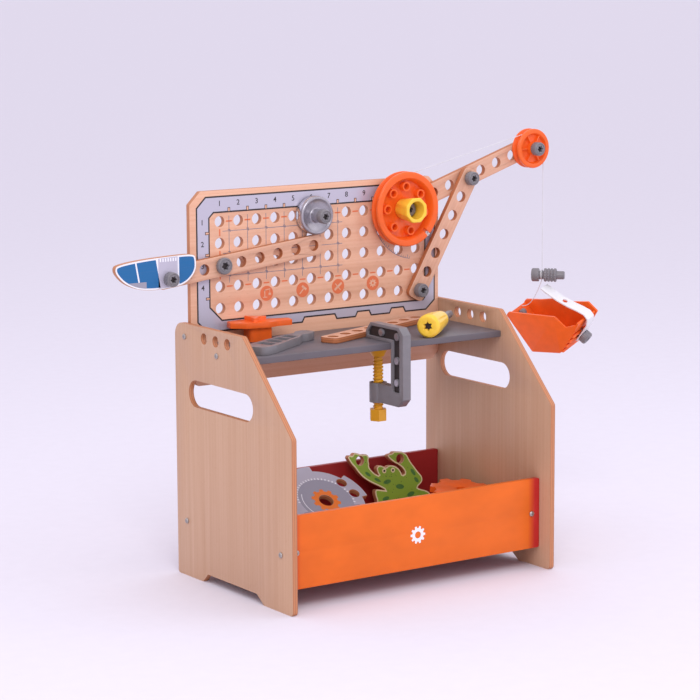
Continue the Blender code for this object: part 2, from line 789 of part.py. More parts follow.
ROLLER_X, ROLLER_Z = peg(*ROLLER_AT)
lathe(
    "roller",
    [
        (BOLT_R + 0.0005, 0),
        (ROLLER_R - 0.0015, 0),
        (ROLLER_R, 0.0015),
        (ROLLER_R, ROLLER_THICKNESS - 0.0015),
        (ROLLER_R - 0.0015, ROLLER_THICKNESS),
        (ROLLER_R - 0.0035, ROLLER_THICKNESS),
        (ROLLER_R - 0.0045, ROLLER_THICKNESS - 0.0015),
        (0.0075, ROLLER_THICKNESS - 0.004),
        (0.0068, ROLLER_HUB),
        (BOLT_R + 0.0005, ROLLER_HUB),
    ],
    32,
    "grey_plastic",
    facing_front(ROLLER_X, layer(0), ROLLER_Z),
)
fasten("roller", ROLLER_X, ROLLER_Z, layer(0) + ROLLER_HUB, REAR_OF_BOARD)

# ---- Hanger and bucket

HANGER_HALF = 0.0205
hanger_middle = Vector((DROP_X, -STRING_DEPTH, HANGER_HEIGHT))
hanger_middle = hanger_middle + HANGER_DIRECTION * HANGER_STRING_AT
head_base = hanger_middle - HANGER_DIRECTION * (HANGER_HALF - BOLT_HEAD_HEIGHT)
hanger_place = frame(head_base, (0, 0, 1), -HANGER_DIRECTION)
HANGER_NUT = 0.0155
HANGER_GROOVE = 0.0062  # the bare length of shank that the string goes round
bolt(
    "hanger_bolt",
    hanger_place,
    2 * HANGER_HALF - BOLT_HEAD_HEIGHT - NUT_HEIGHT,
    end=0.0,
)
nut(
    "hanger_nut",
    hanger_place @ Matrix.Translation((0, 0, -HANGER_GROOVE)),
    HANGER_NUT,
)

# The bucket's own frame: x to its ribbed back, y up, and z across it to the near side.
bucket_x = BUCKET_WIDTH_DIRECTION.cross(Vector((0, 0, 1))).normalized()
bucket_place = frame(BUCKET_AT, bucket_x, -BUCKET_WIDTH_DIRECTION)


def in_bucket(x, y, z=0.0):
    return bucket_place @ Vector((x, y, z))


near_plate = [
    (-0.0422, 0.0175),
    (-0.0388, 0.0216),
    (0.0272, 0.0210),
    (0.0410, 0.0083),
    (0.0560, 0.0125),
    (0.0520, 0.0013),
    (0.0285, -0.0271),
    (-0.0121, -0.0291),
]
far_plate = [
    (-0.0422, 0.0175),
    (-0.0388, 0.0216),
    (-0.0168, 0.0229),
    (0.0028, 0.0257),
    (0.0281, 0.0238),
    (0.0517, 0.0258),
    (0.0632, 0.0145),
    (0.0508, -0.0022),
    (0.0285, -0.0271),
    (-0.0121, -0.0291),
]
shell_line = [
    (-0.0422, 0.0175),
    (-0.0330, 0.0030),
    (-0.0121, -0.0291),
    (0.0285, -0.0271),
    (0.0530, 0.0020),
    (0.0613, 0.0143),
]


def thickened(line, thickness):
    """The outline of a bent wall: the line, and the same line moved to its left."""
    inner = []
    for i, point in enumerate(line):
        here = Vector(point)
        back = (here - Vector(line[max(i - 1, 0)])).normalized()
        on = (Vector(line[min(i + 1, len(line) - 1)]) - here).normalized()
        direction = (back + on).normalized()
        reach = thickness / max(direction.dot(on if on.length else back), 0.5)
        inner.append((here.x - direction.y * reach, here.y + direction.x * reach))
    return line + inner[::-1]


half = BUCKET_HALF_WIDTH
wide = 2 * half
shell_place = bucket_place @ Matrix.Translation((0, 0, -half))
bucket = slab("bucket", thickened(shell_line, BUCKET_WALL), wide, "orange_plastic", shell_place)
far_place = bucket_place @ Matrix.Translation((0, 0, -half - 0.0004))
near_place = bucket_place @ Matrix.Translation((0, 0, half - BUCKET_WALL + 0.0004))
grown = 1.012
near_outline = rounded([(x * grown, y * grown) for x, y in near_plate], 0.0015, 1)
far_outline = rounded([(x * grown, y * grown) for x, y in far_plate], 0.0015, 1)
join(
    bucket,
    slab("bucket_near_plate", near_outline, BUCKET_WALL, None, near_place),
    slab("bucket_far_plate", far_outline, BUCKET_WALL, None, far_place),
)
for number, share in enumerate((0.12, 0.36, 0.60, 0.84)):
    x = 0.0285 + share * 0.0245
    y = -0.0271 + share * 0.0291
    ledge = rectangle(x - 0.0020, y - 0.0025, x + 0.0025, y + 0.0005)
    join(bucket, slab(f"bucket_ledge_{number}", ledge, wide, None, shell_place))

# A bolt holds the strap to the bucket's back, and a smaller one takes the string at its lip.
back_normal = (bucket_place.to_3x3() @ Vector((0.765, -0.644, 0))).normalized()
bolt_at = in_bucket(0.0465, -0.0058)
strap_bolt_place = frame(bolt_at + back_normal * 0.0064, bucket_place.col[2].to_3d(), back_normal)
strap_bolt = bolt("bucket_strap_bolt", strap_bolt_place, 0.0, head_height=0.0085)
strap_bore = rod("bucket_bore", BOLT_R + 0.0003, -0.020, 0.001, 16, None, strap_bolt_place)
cut(bucket, strap_bore)

strap_line = [
    (0.0045, 0.0515),
    (0.0130, 0.0455),
    (0.0260, 0.0372),
    (0.0400, 0.0305),
    (0.0520, 0.0262),
    (0.0620, 0.0215),
    (0.0665, 0.0150),
    (0.0640, 0.0060),
    (0.0563, -0.0036),
    (0.0511, -0.0097),
    (0.0456, -0.0162),
]
STRAP_THICKNESS = 0.0016
STRAP_HALF_WIDTH = 0.0078
strap_outline = thickened(strap_line[::-1], STRAP_THICKNESS)
strap_place = bucket_place @ Matrix.Translation((0, 0, -STRAP_HALF_WIDTH))
strap = slab("bucket_strap", strap_outline, 2 * STRAP_HALF_WIDTH, "white_plastic", strap_place)
cut(strap, strap_bore)
window_at = in_bucket(0.0330, 0.0355)
window_normal = (bucket_place.to_3x3() @ Vector((0.45, 0.89, 0))).normalized()
window_place = frame(window_at, bucket_place.col[2].to_3d(), window_normal)
cut(strap, rod("strap_window", 0.0034, -0.006, 0.006, 14, None, window_place))

lip_normal = (bucket_place.to_3x3() @ Vector((0.845, 0.535, 0))).normalized()
lip_at = in_bucket(-0.0376, 0.0103) + lip_normal * (BUCKET_WALL + GAP)
lip_place = frame(lip_at, bucket_place.col[2].to_3d(), lip_normal)
lip_profile = [
    (0, -0.005),
    (0.0021, -0.005),
    (0.0021, 0.0),
    (0.0042, 0.0),
    (0.0042, 0.0055),
    (0.0030, 0.0065),
    (0, 0.0065),
]
lathe("bucket_lip_pin", lip_profile, 14, "grey_plastic", lip_place)
cut(bucket, rod("lip_bore", 0.0024, -0.010, 0.004, 12, None, lip_place))

sling_start = hanger_middle - HANGER_DIRECTION * HANGER_STRING_AT
sling_start = sling_start - Vector((0, 0, HANGER_GROOVE_R + 0.0003))
sling_end = in_bucket(-0.0330, 0.0215)
sling = []
for i in range(13):
    share = i / 12
    point = sling_start.lerp(sling_end, share)
    point.z -= 0.010 * math.sin(math.pi * share)
    sling.append(tuple(point))
tube("bucket_string", sling, STRING_R, "string")

# ---- Clamp on the front edge of the worktop

CLAMP_TOP = WORKTOP_TOP + 0.0193
CLAMP_BOTTOM = WORKTOP_TOP - 0.0722
CLAMP_FRONT = WORKTOP_FRONT + 0.0246
CLAMP_SPINE = WORKTOP_FRONT + 0.0008
CLAMP_JAW_END = WORKTOP_FRONT - 0.0489
LOWER_JAW_TOP = WORKTOP_TOP - 0.0502
JAW_BOTTOM = WORKTOP_TOP + GAP
clamp_corners = [
    (CLAMP_JAW_END, JAW_BOTTOM),
    (CLAMP_SPINE, JAW_BOTTOM),
    (CLAMP_SPINE, LOWER_JAW_TOP),
    (CLAMP_SCREW_DEPTH, LOWER_JAW_TOP),
    (CLAMP_SCREW_DEPTH, CLAMP_BOTTOM),
    (CLAMP_FRONT - 0.009, CLAMP_BOTTOM),
    (CLAMP_FRONT, CLAMP_BOTTOM + 0.009),
    (CLAMP_FRONT, CLAMP_TOP - 0.008),
    (CLAMP_FRONT - 0.008, CLAMP_TOP),
    (CLAMP_JAW_END + 0.009, CLAMP_TOP),
    (CLAMP_JAW_END, CLAMP_TOP - 0.010),
]
clamp_place = frame((CLAMP_X + CLAMP_THICKNESS / 2, 0, 0), (0, -1, 0), (-1, 0, 0))
clamp_frame = slab("clamp_frame", clamp_corners, CLAMP_THICKNESS, "grey_plastic", clamp_place)
screw_place = Matrix.Translation((CLAMP_X, -CLAMP_SCREW_DEPTH, 0))
jaw_boss = rod("clamp_boss", 0.0102, CLAMP_BOTTOM - 0.001, LOWER_JAW_TOP, 8, None, screw_place)
join(clamp_frame, jaw_boss)
FLANGE = 0.0035
RECESS = 0.0028
recess_outline = [
    (CLAMP_JAW_END + FLANGE, JAW_BOTTOM + FLANGE),
    (CLAMP_SPINE + FLANGE, JAW_BOTTOM + FLANGE),
    (CLAMP_SPINE + FLANGE, LOWER_JAW_TOP - 0.006),
    (CLAMP_FRONT - 2 * FLANGE, LOWER_JAW_TOP - 0.006),
    (CLAMP_FRONT - 2 * FLANGE, CLAMP_TOP - 0.008 - FLANGE / 2),
    (CLAMP_FRONT - 0.008 - FLANGE, CLAMP_TOP - FLANGE),
    (CLAMP_JAW_END + 0.010, CLAMP_TOP - FLANGE),
    (CLAMP_JAW_END + FLANGE, CLAMP_TOP - 0.011),
]
BOSSES = tuple(
    (WORKTOP_FRONT + out, WORKTOP_TOP + up)
    for out, up in ((-0.0193, 0.0098), (0.0116, 0.0083), (0.0114, -0.0194), (0.0113, -0.0448))
)
for side, start in (("left", CLAMP_THICKNESS - RECESS), ("right", -0.001)):
    pocket_place = clamp_place @ Matrix.Translation((0, 0, start))
    pocket_name = f"clamp_{side}_recess"
    rings = [circle(x, y, 0.0044, 12) for x, y in BOSSES]
    pocket = slab(pocket_name, recess_outline, RECESS + 0.001, None, pocket_place, rings)
    cut(clamp_frame, pocket)
cut(
    clamp_frame,
    rod("clamp_bore", CLAMP_SCREW_R + 0.0005, CLAMP_BOTTOM - 0.018, LOWER_JAW_TOP + 0.01, 18, None, screw_place),
)

SCREW_TOP = WORKTOP_TOP - 0.0197
HEX_BOTTOM = WORKTOP_TOP - 0.0950
HEX_TOP = WORKTOP_TOP - 0.0815
thread = [(0, HEX_TOP - 0.001), (CLAMP_SCREW_R - 0.001, HEX_TOP - 0.001)]
turns = int((SCREW_TOP - HEX_TOP) / THREAD_PITCH)
for i in range(turns):
    z = HEX_TOP + THREAD_PITCH * i
    thread.append((CLAMP_SCREW_R - 0.0012, z + 0.0006))
    thread.append((CLAMP_SCREW_R, z + THREAD_PITCH * 0.55))
thread.append((CLAMP_SCREW_R - 0.0012, SCREW_TOP - 0.0012))
thread.append((0.0035, SCREW_TOP - 0.0012))
thread.append((0.0035, SCREW_TOP + 0.006))
thread.append((0, SCREW_TOP + 0.006))
clamp_screw = lathe("clamp_screw", thread, 12, "yellow_plastic", screw_place)
hexagon = rod("clamp_hex", 0.0104, HEX_BOTTOM, HEX_TOP, 6, None, screw_place)
join(clamp_screw, hexagon)
PAD_TOP = WORKTOP_TOP - WORKTOP_THICKNESS - GAP
pad_profile = [
    (0, PAD_TOP),
    (0.0113, PAD_TOP),
    (0.0113, PAD_TOP - 0.0035),
    (0.0072, SCREW_TOP),
    (0.0038, SCREW_TOP),
    (0.0038, SCREW_TOP + 0.0065),
    (0, SCREW_TOP + 0.0065),
]
lathe("clamp_pad", pad_profile, 20, "yellow_plastic", screw_place)

# ---- Tools on the worktop

ON_TOP = WORKTOP_TOP + GAP
loose_place = frame((-0.0336, -0.1050, ON_TOP), (0.929, 0.370, 0), (0, 0, 1))
strip("loose_strip", LOOSE_HOLES, loose_place)

driver_direction = Vector((0.777, 0.630, 0))
driver_at = Vector((0.0690, -0.1480, ON_TOP + DRIVER_R))
driver_place = frame(driver_at, (0, 0, 1), -driver_direction)
handle_profile = [
    (0, -DRIVER_HANDLE),
    (0.0078, -DRIVER_HANDLE),
    (0.0098, -DRIVER_HANDLE + 0.004),
    (0.0112, -DRIVER_HANDLE + 0.012),
    (0.0126, -DRIVER_HANDLE + 0.034),
    (DRIVER_R, -0.012),
    (DRIVER_R, -0.004),
    (DRIVER_R - 0.0026, 0),
    (0, 0),
]
handle = lathe("screwdriver_handle", handle_profile, 12, "yellow_plastic", driver_place)
tip_recess = driver_place @ Matrix.Translation((0, 0, -0.005))
cut(handle, slab("handle_star", star(0.0062, 0.0036), 0.006, None, tip_recess))
shaft_profile = [
    (0, -DRIVER_HANDLE - DRIVER_SHAFT),
    (0.0030, -DRIVER_HANDLE - DRIVER_SHAFT),
    (0.0045, -DRIVER_HANDLE - DRIVER_SHAFT + 0.004),
    (0.0045, -DRIVER_HANDLE - 0.012),
    (0.0072, -DRIVER_HANDLE - 0.010),
    (0.0072, -DRIVER_HANDLE - GAP),
    (0, -DRIVER_HANDLE - GAP),
]
lathe("screwdriver_shaft", shaft_profile, 12, "grey_plastic", driver_place)

spanner_place = frame((-0.1500, -0.1270, ON_TOP), (0.872, 0.489, 0), (0, 0, 1))
spanner_outline = rounded(
    [
        (-0.0070, -0.0135),
        (0.0150, -0.0165),
        (0.0800, -0.0120),
        (0.0960, -0.0060),
        (0.1040, -0.0105),
        (0.1230, -0.0100),
        (0.1260, 0.0070),
        (0.1120, 0.0110),
        (0.1000, 0.0065),
        (0.0820, 0.0120),
        (0.0150, 0.0150),
        (-0.0070, 0.0125),
    ],
    [0.008, 0.012, 0.012, 0.006, 0.004, 0.007, 0.007, 0.004, 0.006, 0.012, 0.012, 0.008],
    3,
)
spanner = slab("spanner", spanner_outline, SPANNER_THICKNESS, "grey_plastic", spanner_place)
for number in range(4):
    x = 0.012 + 0.0185 * number
    wide_half = 0.0108 - 0.0007 * number
    pocket = [
        (x, -wide_half),
        (x + 0.0145, -wide_half + 0.0004),
        (x + 0.0175, wide_half - 0.0004),
        (x + 0.0030, wide_half),
    ]
    pocket_place = spanner_place @ Matrix.Translation((0, 0, 0.003))
    cut(spanner, slab(f"spanner_pocket_{number}", pocket, 0.01, None, pocket_place))

# An orange connector: a block foot, a winged plate on it, and a ridge with three arms on top.
connector_place = frame((-0.0960, -0.0440, ON_TOP), (0.985, -0.174, 0), (0, 0, 1))
connector = slab(
    "connector_block",
    rounded(rectangle(-0.0150, -0.0120, 0.0130, 0.0120), 0.004, 3),
    0.0175,
    "orange_plastic",
    connector_place,
)
wing_outline = rounded(
    [
        (-0.0370, -0.0060),
        (-0.0200, -0.0160),
        (0.0080, -0.0170),
        (0.0200, -0.0110),
        (0.0390, -0.0095),
        (0.0400, 0.0065),
        (0.0190, 0.0090),
        (0.0060, 0.0150),
        (-0.0180, 0.0150),
        (-0.0360, 0.0080),
    ],
    0.003,
    2,
)
wing_place = connector_place @ Matrix.Translation((0, 0, 0.0165))
join(connector, slab("connector_wing", wing_outline, 0.0062, None, wing_place))
ridge_place = connector_place @ Matrix.Translation((-0.004, 0, 0.0220))
ridge_outline = star(0.0185, 0.0060, 3)
ridge_outline = [ridge_outline[i] for i in range(6)]
ridge = slab("connector_ridge", rounded(ridge_outline, 0.002, 2), 0.0055, None, ridge_place)
join(connector, ridge)

# ---- Things in the box

BOX_STANDS = BOX_FLOOR_TOP + GAP
frog_outline = smooth(
    [
        (0.0290, 0.1155), (0.0320, 0.1185), (0.0360, 0.1165), (0.0390, 0.1205),
        (0.0440, 0.1190), (0.0490, 0.1165), (0.0560, 0.1170), (0.0600, 0.1130),
        (0.0585, 0.1085), (0.0595, 0.1045), (0.0585, 0.1010), (0.0620, 0.0960),
        (0.0670, 0.0915), (0.0725, 0.0885), (0.0700, 0.0930), (0.0690, 0.0985),
        (0.0735, 0.1015), (0.0790, 0.0995), (0.0830, 0.0970), (0.0870, 0.0995),
        (0.0935, 0.0990), (0.1000, 0.0955), (0.1040, 0.0905), (0.1060, 0.0850),
        (0.1110, 0.0868), (0.1080, 0.0930), (0.1023, 0.0980), (0.0943, 0.1025),
        (0.0900, 0.1065), (0.0855, 0.1110), (0.0890, 0.1130), (0.0935, 0.1130),
        (0.0965, 0.1155), (0.1020, 0.1145), (0.1090, 0.1135), (0.1155, 0.1090),
        (0.1180, 0.1030), (0.1208, 0.0985), (0.1256, 0.0922), (0.1300, 0.0860),
        (0.1345, 0.0810), (0.1355, 0.0765), (0.1335, 0.0725), (0.1262, 0.0680),
        (0.1300, 0.0655), (0.1400, 0.0625), (0.1455, 0.0580), (0.1470, 0.0500),
        (0.1430, 0.0400), (0.1490, 0.0304), (0.1270, 0.0304), (0.1240, 0.0400),
        (0.1170, 0.0460), (0.1060, 0.0430), (0.0970, 0.0450), (0.0900, 0.0480),
        (0.0840, 0.0420), (0.0840, 0.0304), (0.0600, 0.0304), (0.0650, 0.0380),
        (0.0630, 0.0480), (0.0670, 0.0570), (0.0640, 0.0670), (0.0650, 0.0735),
        (0.0735, 0.0715), (0.0805, 0.0700), (0.0715, 0.0757), (0.0600, 0.0815),
        (0.0494, 0.0885), (0.0425, 0.0962), (0.0385, 0.1022), (0.0333, 0.1080),
        (0.0308, 0.1125),
    ],
    1,
)  # fmt: skip
frog_outline = [(x, z - BOX_STANDS) for x, z in frog_outline]
frog_holes = [circle(x, z - BOX_STANDS, FROG_HOLE_R, 14) for x, z in FROG_HOLES]
frog_place = frame(
    (0, -FROG_FOOT, BOX_STANDS), (1, 0, 0), (0, -math.cos(FROG_LEAN), math.sin(FROG_LEAN))
)
frog_place = frog_place @ Matrix.Translation((0, 0.0011, 0))
slab("frog", frog_outline, PLY, "green_print", frog_place, frog_holes)

# The top of a printed wheel with broad teeth, which leans back above the box floor.
plate_place = frame(
    (PLATE_X, -PLATE_FOOT, BOX_STANDS),
    (1, 0, 0),
    (0, -math.sin(PLATE_TILT), math.cos(PLATE_TILT)),
)


def plate_arc(radius, start, end, steps):
    """Points on the plate's rim, from one angle to another in degrees."""
    turns = [math.radians(start + (end - start) * i / steps) for i in range(steps + 1)]
    return [
        (radius * math.cos(turn), PLATE_MIDDLE + radius * math.sin(turn)) for turn in turns
    ]


plate_outline = [(PLATE_STEM, 0.0), (PLATE_STEM, PLATE_MIDDLE - 0.02)]
plate_outline += plate_arc(PLATE_R, -19, -3, 2)
for start in (-2, 82, 166):
    end = start + PLATE_TOOTH
    plate_outline += plate_arc(PLATE_R + PLATE_STEP, start, min(end, 188), 5)
    if start < 166:
        plate_outline += plate_arc(PLATE_R, end + 1, start + 83, 5)
plate_outline += [(-PLATE_STEM, PLATE_MIDDLE - 0.02), (-PLATE_STEM, 0.0)]
plate_holes = [circle(0.0, PLATE_MIDDLE, PLATE_BORE_R, 18)]
for turn in map(math.radians, (6, 34)):
    x = PLATE_HOLES_R * math.cos(turn)
    y = PLATE_MIDDLE + PLATE_HOLES_R * math.sin(turn)
    plate_holes.append(circle(x, y, HOLE_R, 14))
slab("round_plate", plate_outline, PLY, "grey_print", plate_place, plate_holes)

# An orange gear on a tall hub, which stands on the box floor.
GEAR_TILT = math.radians(8)
gear_place = frame((0.1290, -0.1330, 0.0760), (1, 0, 0), (0, -math.sin(GEAR_TILT), 1))
gear = slab(
    "box_gear",
    toothed(0.0315, 0.0375, 8),
    0.0070,
    "orange_plastic",
    gear_place,
    [circle(0, 0, HOLE_R, 16)],
)
hub_height = 0.0760 - BOX_STANDS - 0.0005
hub_place = Matrix.Translation((0.1290, -0.1330, BOX_STANDS))
gear_hub = slab(
    "gear_hub", circle(0, 0, 0.0125, 20), hub_height + 0.003, None, hub_place,
    [circle(0, 0, HOLE_R, 16)],
)  # fmt: skip
join(gear, gear_hub)

# ---- Move the origin to the bottom centre of the bounding box

bpy.context.view_layer.update()
graph = bpy.context.evaluated_depsgraph_get()
low = Vector((math.inf,) * 3)
high = Vector((-math.inf,) * 3)
for part in PARTS.objects:
    if part.type != "MESH":
        continue
    solid = part.evaluated_get(graph)
    for vert in solid.to_mesh().vertices:
        here = part.matrix_world @ vert.co
        low = Vector(map(min, low, here))
        high = Vector(map(max, high, here))
    solid.to_mesh_clear()
ROOT.location = (-(low.x + high.x) / 2, -(low.y + high.y) / 2, -low.z)
bpy.context.view_layer.update()
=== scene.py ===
"""Toy workbench: the finishes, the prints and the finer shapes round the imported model.

Pieces are made in the bench's own frame, in metres: X = 0 at the middle of the bench,
Y = 0 at the rear edges of the side panels with the front at -Y, and Z = 0 at the floor.
"depth" is the distance in front of Y = 0.
"""

import json
import math
import random

import bmesh
import bpy
from mathutils import Matrix, Vector
from mathutils.geometry import delaunay_2d_cdt


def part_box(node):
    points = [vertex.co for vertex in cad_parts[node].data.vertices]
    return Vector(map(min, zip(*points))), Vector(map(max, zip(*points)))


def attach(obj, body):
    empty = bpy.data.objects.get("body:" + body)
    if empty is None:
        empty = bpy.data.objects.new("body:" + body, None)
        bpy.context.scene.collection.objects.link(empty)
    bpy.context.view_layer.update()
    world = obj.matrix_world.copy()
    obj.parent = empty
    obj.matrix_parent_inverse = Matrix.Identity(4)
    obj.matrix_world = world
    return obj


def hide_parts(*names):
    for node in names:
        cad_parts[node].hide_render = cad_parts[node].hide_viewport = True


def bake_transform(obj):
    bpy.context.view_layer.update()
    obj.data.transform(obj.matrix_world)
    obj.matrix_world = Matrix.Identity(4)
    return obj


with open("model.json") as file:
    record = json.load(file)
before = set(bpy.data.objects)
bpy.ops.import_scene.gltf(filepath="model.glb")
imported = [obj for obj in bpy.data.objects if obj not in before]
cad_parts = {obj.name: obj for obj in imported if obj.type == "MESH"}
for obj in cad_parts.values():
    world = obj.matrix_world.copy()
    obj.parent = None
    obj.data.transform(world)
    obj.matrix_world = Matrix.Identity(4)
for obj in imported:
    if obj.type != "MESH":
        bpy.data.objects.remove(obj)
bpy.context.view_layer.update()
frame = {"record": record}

# ---- Camera

CAMERA_AT = Vector((-1.6467, -2.3123, 0.7197))
CAMERA_FORWARD = Vector((0.55700501, 0.8146586, -0.16148306))
CAMERA_RIGHT = Vector((0.82508145, -0.56499694, -0.00436649))
LENS = 127.62

# ---- Sizes of the bench
PITCH = 0.025
HOLE_R = 0.0064
PLY = 0.0064
GAP = 0.0003
HALF_WIDTH = 0.1812
INNER = HALF_WIDTH - PLY
INSIDE = INNER - GAP
PANEL_DEPTH = 0.2432
PANEL_HEIGHT = 0.2948
BOARD_FRONT = 0.0247
BOARD_BOTTOM = 0.221
BOARD_TOP = 0.4439
COLUMNS = 12
ROWS = 5
FIRST_COLUMN = -0.1347
LAST_ROW = 0.3082
WORKTOP_TOP = 0.2702
WORKTOP_THICKNESS = 0.0075
WORKTOP_FRONT = 0.1494
BOX_FRONT = 0.2237
BOX_BOTTOM = 0.0237
BOX_STANDS = BOX_BOTTOM + PLY + GAP
BOLT_R = 0.0054
BOLT_HEAD_R = 0.0083
BOLT_HEAD_HEIGHT = 0.0093
NUT_R = 0.0086
STRIP_HALF_WIDTH = 0.012
STRIP_OVERHANG = 0.011

board_low, board_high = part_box("pegboard")
_, panel_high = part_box("right_side_panel")
BENCH = Matrix.Translation(((board_low.x + board_high.x) / 2, panel_high.y, 0))

BODY_OF = {
    node: body
    for body, nodes in frame["record"]["behaviour"]["bodies"].items()
    for node in nodes
}

# ---- Shader nodes written as expressions


class Value:
    """A number that varies over a surface. Its operators add Math nodes."""

    def __init__(self, finish, socket):
        self.finish = finish
        self.socket = socket

    def maths(self, operation, *values):
        return self.finish.maths(operation, *values)

    def __add__(self, other):
        return self.maths("ADD", self, other)

    def __rsub__(self, other):
        return self.maths("SUBTRACT", other, self)

    def __mul__(self, other):
        return self.maths("MULTIPLY", self, other)

    def __abs__(self):
        return self.maths("ABSOLUTE", self)

    __radd__ = __add__
    __rmul__ = __mul__


class Finish:
    """One material, with a Principled shader whose constants are set on its sockets."""

    def __init__(self, name, **constants):
        self.material = bpy.data.materials.new(name)
        self.material.use_nodes = True
        self.tree = self.material.node_tree
        self.shader = self.tree.nodes["Principled BSDF"]
        for socket, value in constants.items():
            name_of = socket.replace("_", " ").title().replace("Ior", "IOR")
            self.shader.inputs[name_of].default_value = value
        coordinates = self.tree.nodes.new("ShaderNodeTexCoord")
        self.place = coordinates.outputs["Object"]
        self.normal = coordinates.outputs["Normal"]

    def put(self, socket, value):
        if isinstance(value, Value):
            value = value.socket
        if isinstance(value, bpy.types.NodeSocket):
            self.tree.links.new(value, socket)
        else:
            socket.default_value = value

    def node(self, kind, settings, sockets, output=0):
        """Adds a node. Its settings are set first, then the values or links of its sockets."""
        made = self.tree.nodes.new("ShaderNode" + kind)
        for name, value in settings.items():
            setattr(made, name, value)
        for name, value in sockets.items():
            self.put(made.inputs[name], value)
        return Value(self, made.outputs[output])

    def maths(self, operation, *values):
        sockets = dict(enumerate(values))
        return self.node("Math", {"operation": operation}, sockets)

    def mix(self, share, first, second):
        """The first colour where the share is 0, and the second where it is 1."""
        settings = {"data_type": "RGBA"}
        return self.node("Mix", settings, {0: share, 6: first, 7: second}, 2)

    def stretched(self, sizes, at=(0, 0, 0)):
        """Coordinates in which one unit is this many metres along each axis."""
        scale = tuple(1 / size for size in sizes)
        return self.node("Mapping", {}, {"Vector": self.place, "Scale": scale, "Location": at})

    def noise(self, vector, detail=3.0, roughness=0.55, distortion=0.0):
        sockets = {
            "Vector": vector,
            "Scale": 1.0,
            "Detail": detail,
            "Roughness": roughness,
            "Distortion": distortion,
        }
        return self.node("TexNoise", {}, sockets)

    def ramp(self, value, low, high):
        """0 up to low, 1 from high, and even between."""
        sockets = {0: value, 1: low, 2: high}
        return self.node("MapRange", {"clamp": True}, sockets)

    def axis(self, vector, name):
        split = self.tree.nodes.new("ShaderNodeSeparateXYZ")
        self.put(split.inputs[0], vector)
        return Value(self, split.outputs[name])

    def colour(self, value):
        self.put(self.shader.inputs["Base Color"], value)

    def rough(self, value):
        self.put(self.shader.inputs["Roughness"], value)

    def bump(self, height, distance, strength=1.0):
        sockets = {"Height": height, "Distance": distance, "Strength": strength}
        self.put(self.shader.inputs["Normal"], self.node("Bump", {}, sockets))
        return self


def rgb(red, green, blue):
    """A screen colour, 0 to 255, as the linear colour that shaders take."""
    linear = [(max(c, 6) / 255 + 0.055) / 1.055 for c in (red, green, blue)]
    return (*[c**2.4 for c in linear], 1.0)


def wood(name, face, streak, edge, along="X", grain=1.0, ply=True, gloss=0.5):
    """Varnished beech ply. Local Z is through the sheet, and the grain runs along one axis."""
    made = Finish(name, roughness=gloss, coat_weight=0.12, coat_roughness=0.35)
    long, fine, wide = 0.30, 0.0016, 0.022
    if along == "X":
        streaks = made.noise(made.stretched((long, fine * 2, 0.05)), 4)
        broad = made.noise(made.stretched((long * 1.5, wide, 0.05), (3, 1, 0)), 2)
        flecks = made.noise(made.stretched((0.005, 0.0006, 0.02), (7, 2, 0)), 1)
    else:
        streaks = made.noise(made.stretched((fine * 2, long, 0.05)), 4)
        broad = made.noise(made.stretched((wide, long * 1.5, 0.05), (3, 1, 0)), 2)
        flecks = made.noise(made.stretched((0.0006, 0.005, 0.02), (7, 2, 0)), 1)
    share = made.ramp(streaks, 0.30, 0.72) * (0.65 * grain) + made.ramp(broad, 0.3, 0.7) * 0.35
    flat = made.mix(share, face, streak)
    pores = made.ramp(flecks, 0.66, 0.76) * (0.35 * grain)
    flat = made.mix(pores, flat, edge)
    upright = abs(made.axis(made.normal, "Z"))
    cut = 1 - made.ramp(upright, 0.35, 0.75)
    if ply:
        height = made.axis(made.place, "Z") * (1 / PLY)
        bands = made.maths("SINE", height * (2 * math.pi * 2.5))
        fibres = made.noise(made.stretched((0.004, 0.004, 0.0006), (1, 5, 2)), 3)
        dark = made.ramp(bands + fibres * 1.2, 0.1, 1.3)
        light = tuple(min(1.0, c * 1.35) for c in edge[:3]) + (1.0,)
        side = made.mix(dark, light, edge)
        flat = made.mix(cut, flat, side)
    made.colour(flat)
    made.rough(made.ramp(streaks, 0.2, 0.8) * 0.14 + (gloss - 0.06) + cut * 0.15)
    made.bump(streaks * 0.6 + flecks * 0.4, 0.00012, 0.6)
    return made.material


def moulded(name, colour, gloss=0.34, fade=0.1, coat=0.0, texture=0.00005):
    """Moulded plastic: nearly even, with a faint cloudiness and a fine eggshell surface."""
    made = Finish(name, roughness=gloss, coat_weight=coat, coat_roughness=0.2, specular_ior_level=0.4)
    cloud = made.noise(made.stretched((0.012, 0.012, 0.012)), 3)
    fine = made.noise(made.stretched((0.0007, 0.0007, 0.0007), (2, 4, 6)), 2)
    deep = tuple(c * (1 - fade * 2.2) for c in colour[:3]) + (1.0,)
    made.colour(made.mix(made.ramp(cloud, 0.25, 0.8), deep, colour))
    made.rough(cloud * 0.12 + fine * 0.06 + (gloss - 0.09))
    return made.bump(fine, texture, 0.5).material


def painted(name, colour, shade=None, start=0.0, end=1.0, gloss=0.42):
    """Satin paint on board. It can turn to another shade towards both ends of local X."""
    made = Finish(name, roughness=gloss, specular_ior_level=0.35)
    roller = made.noise(made.stretched((0.0011, 0.0011, 0.0011)), 2)
    cloud = made.noise(made.stretched((0.05, 0.03, 0.03), (4, 4, 1)), 2)
    deep = tuple(c * 0.88 for c in colour[:3]) + (1.0,)
    base = made.mix(made.ramp(cloud, 0.3, 0.7), colour, deep)
    if shade:
        reach = abs(made.axis(made.place, "X"))
        base = made.mix(made.ramp(reach, start, end), base, shade)
    made.colour(base)
    made.rough(cloud * 0.1 + (gloss - 0.05))
    return made.bump(roller, 0.00008, 0.5).material


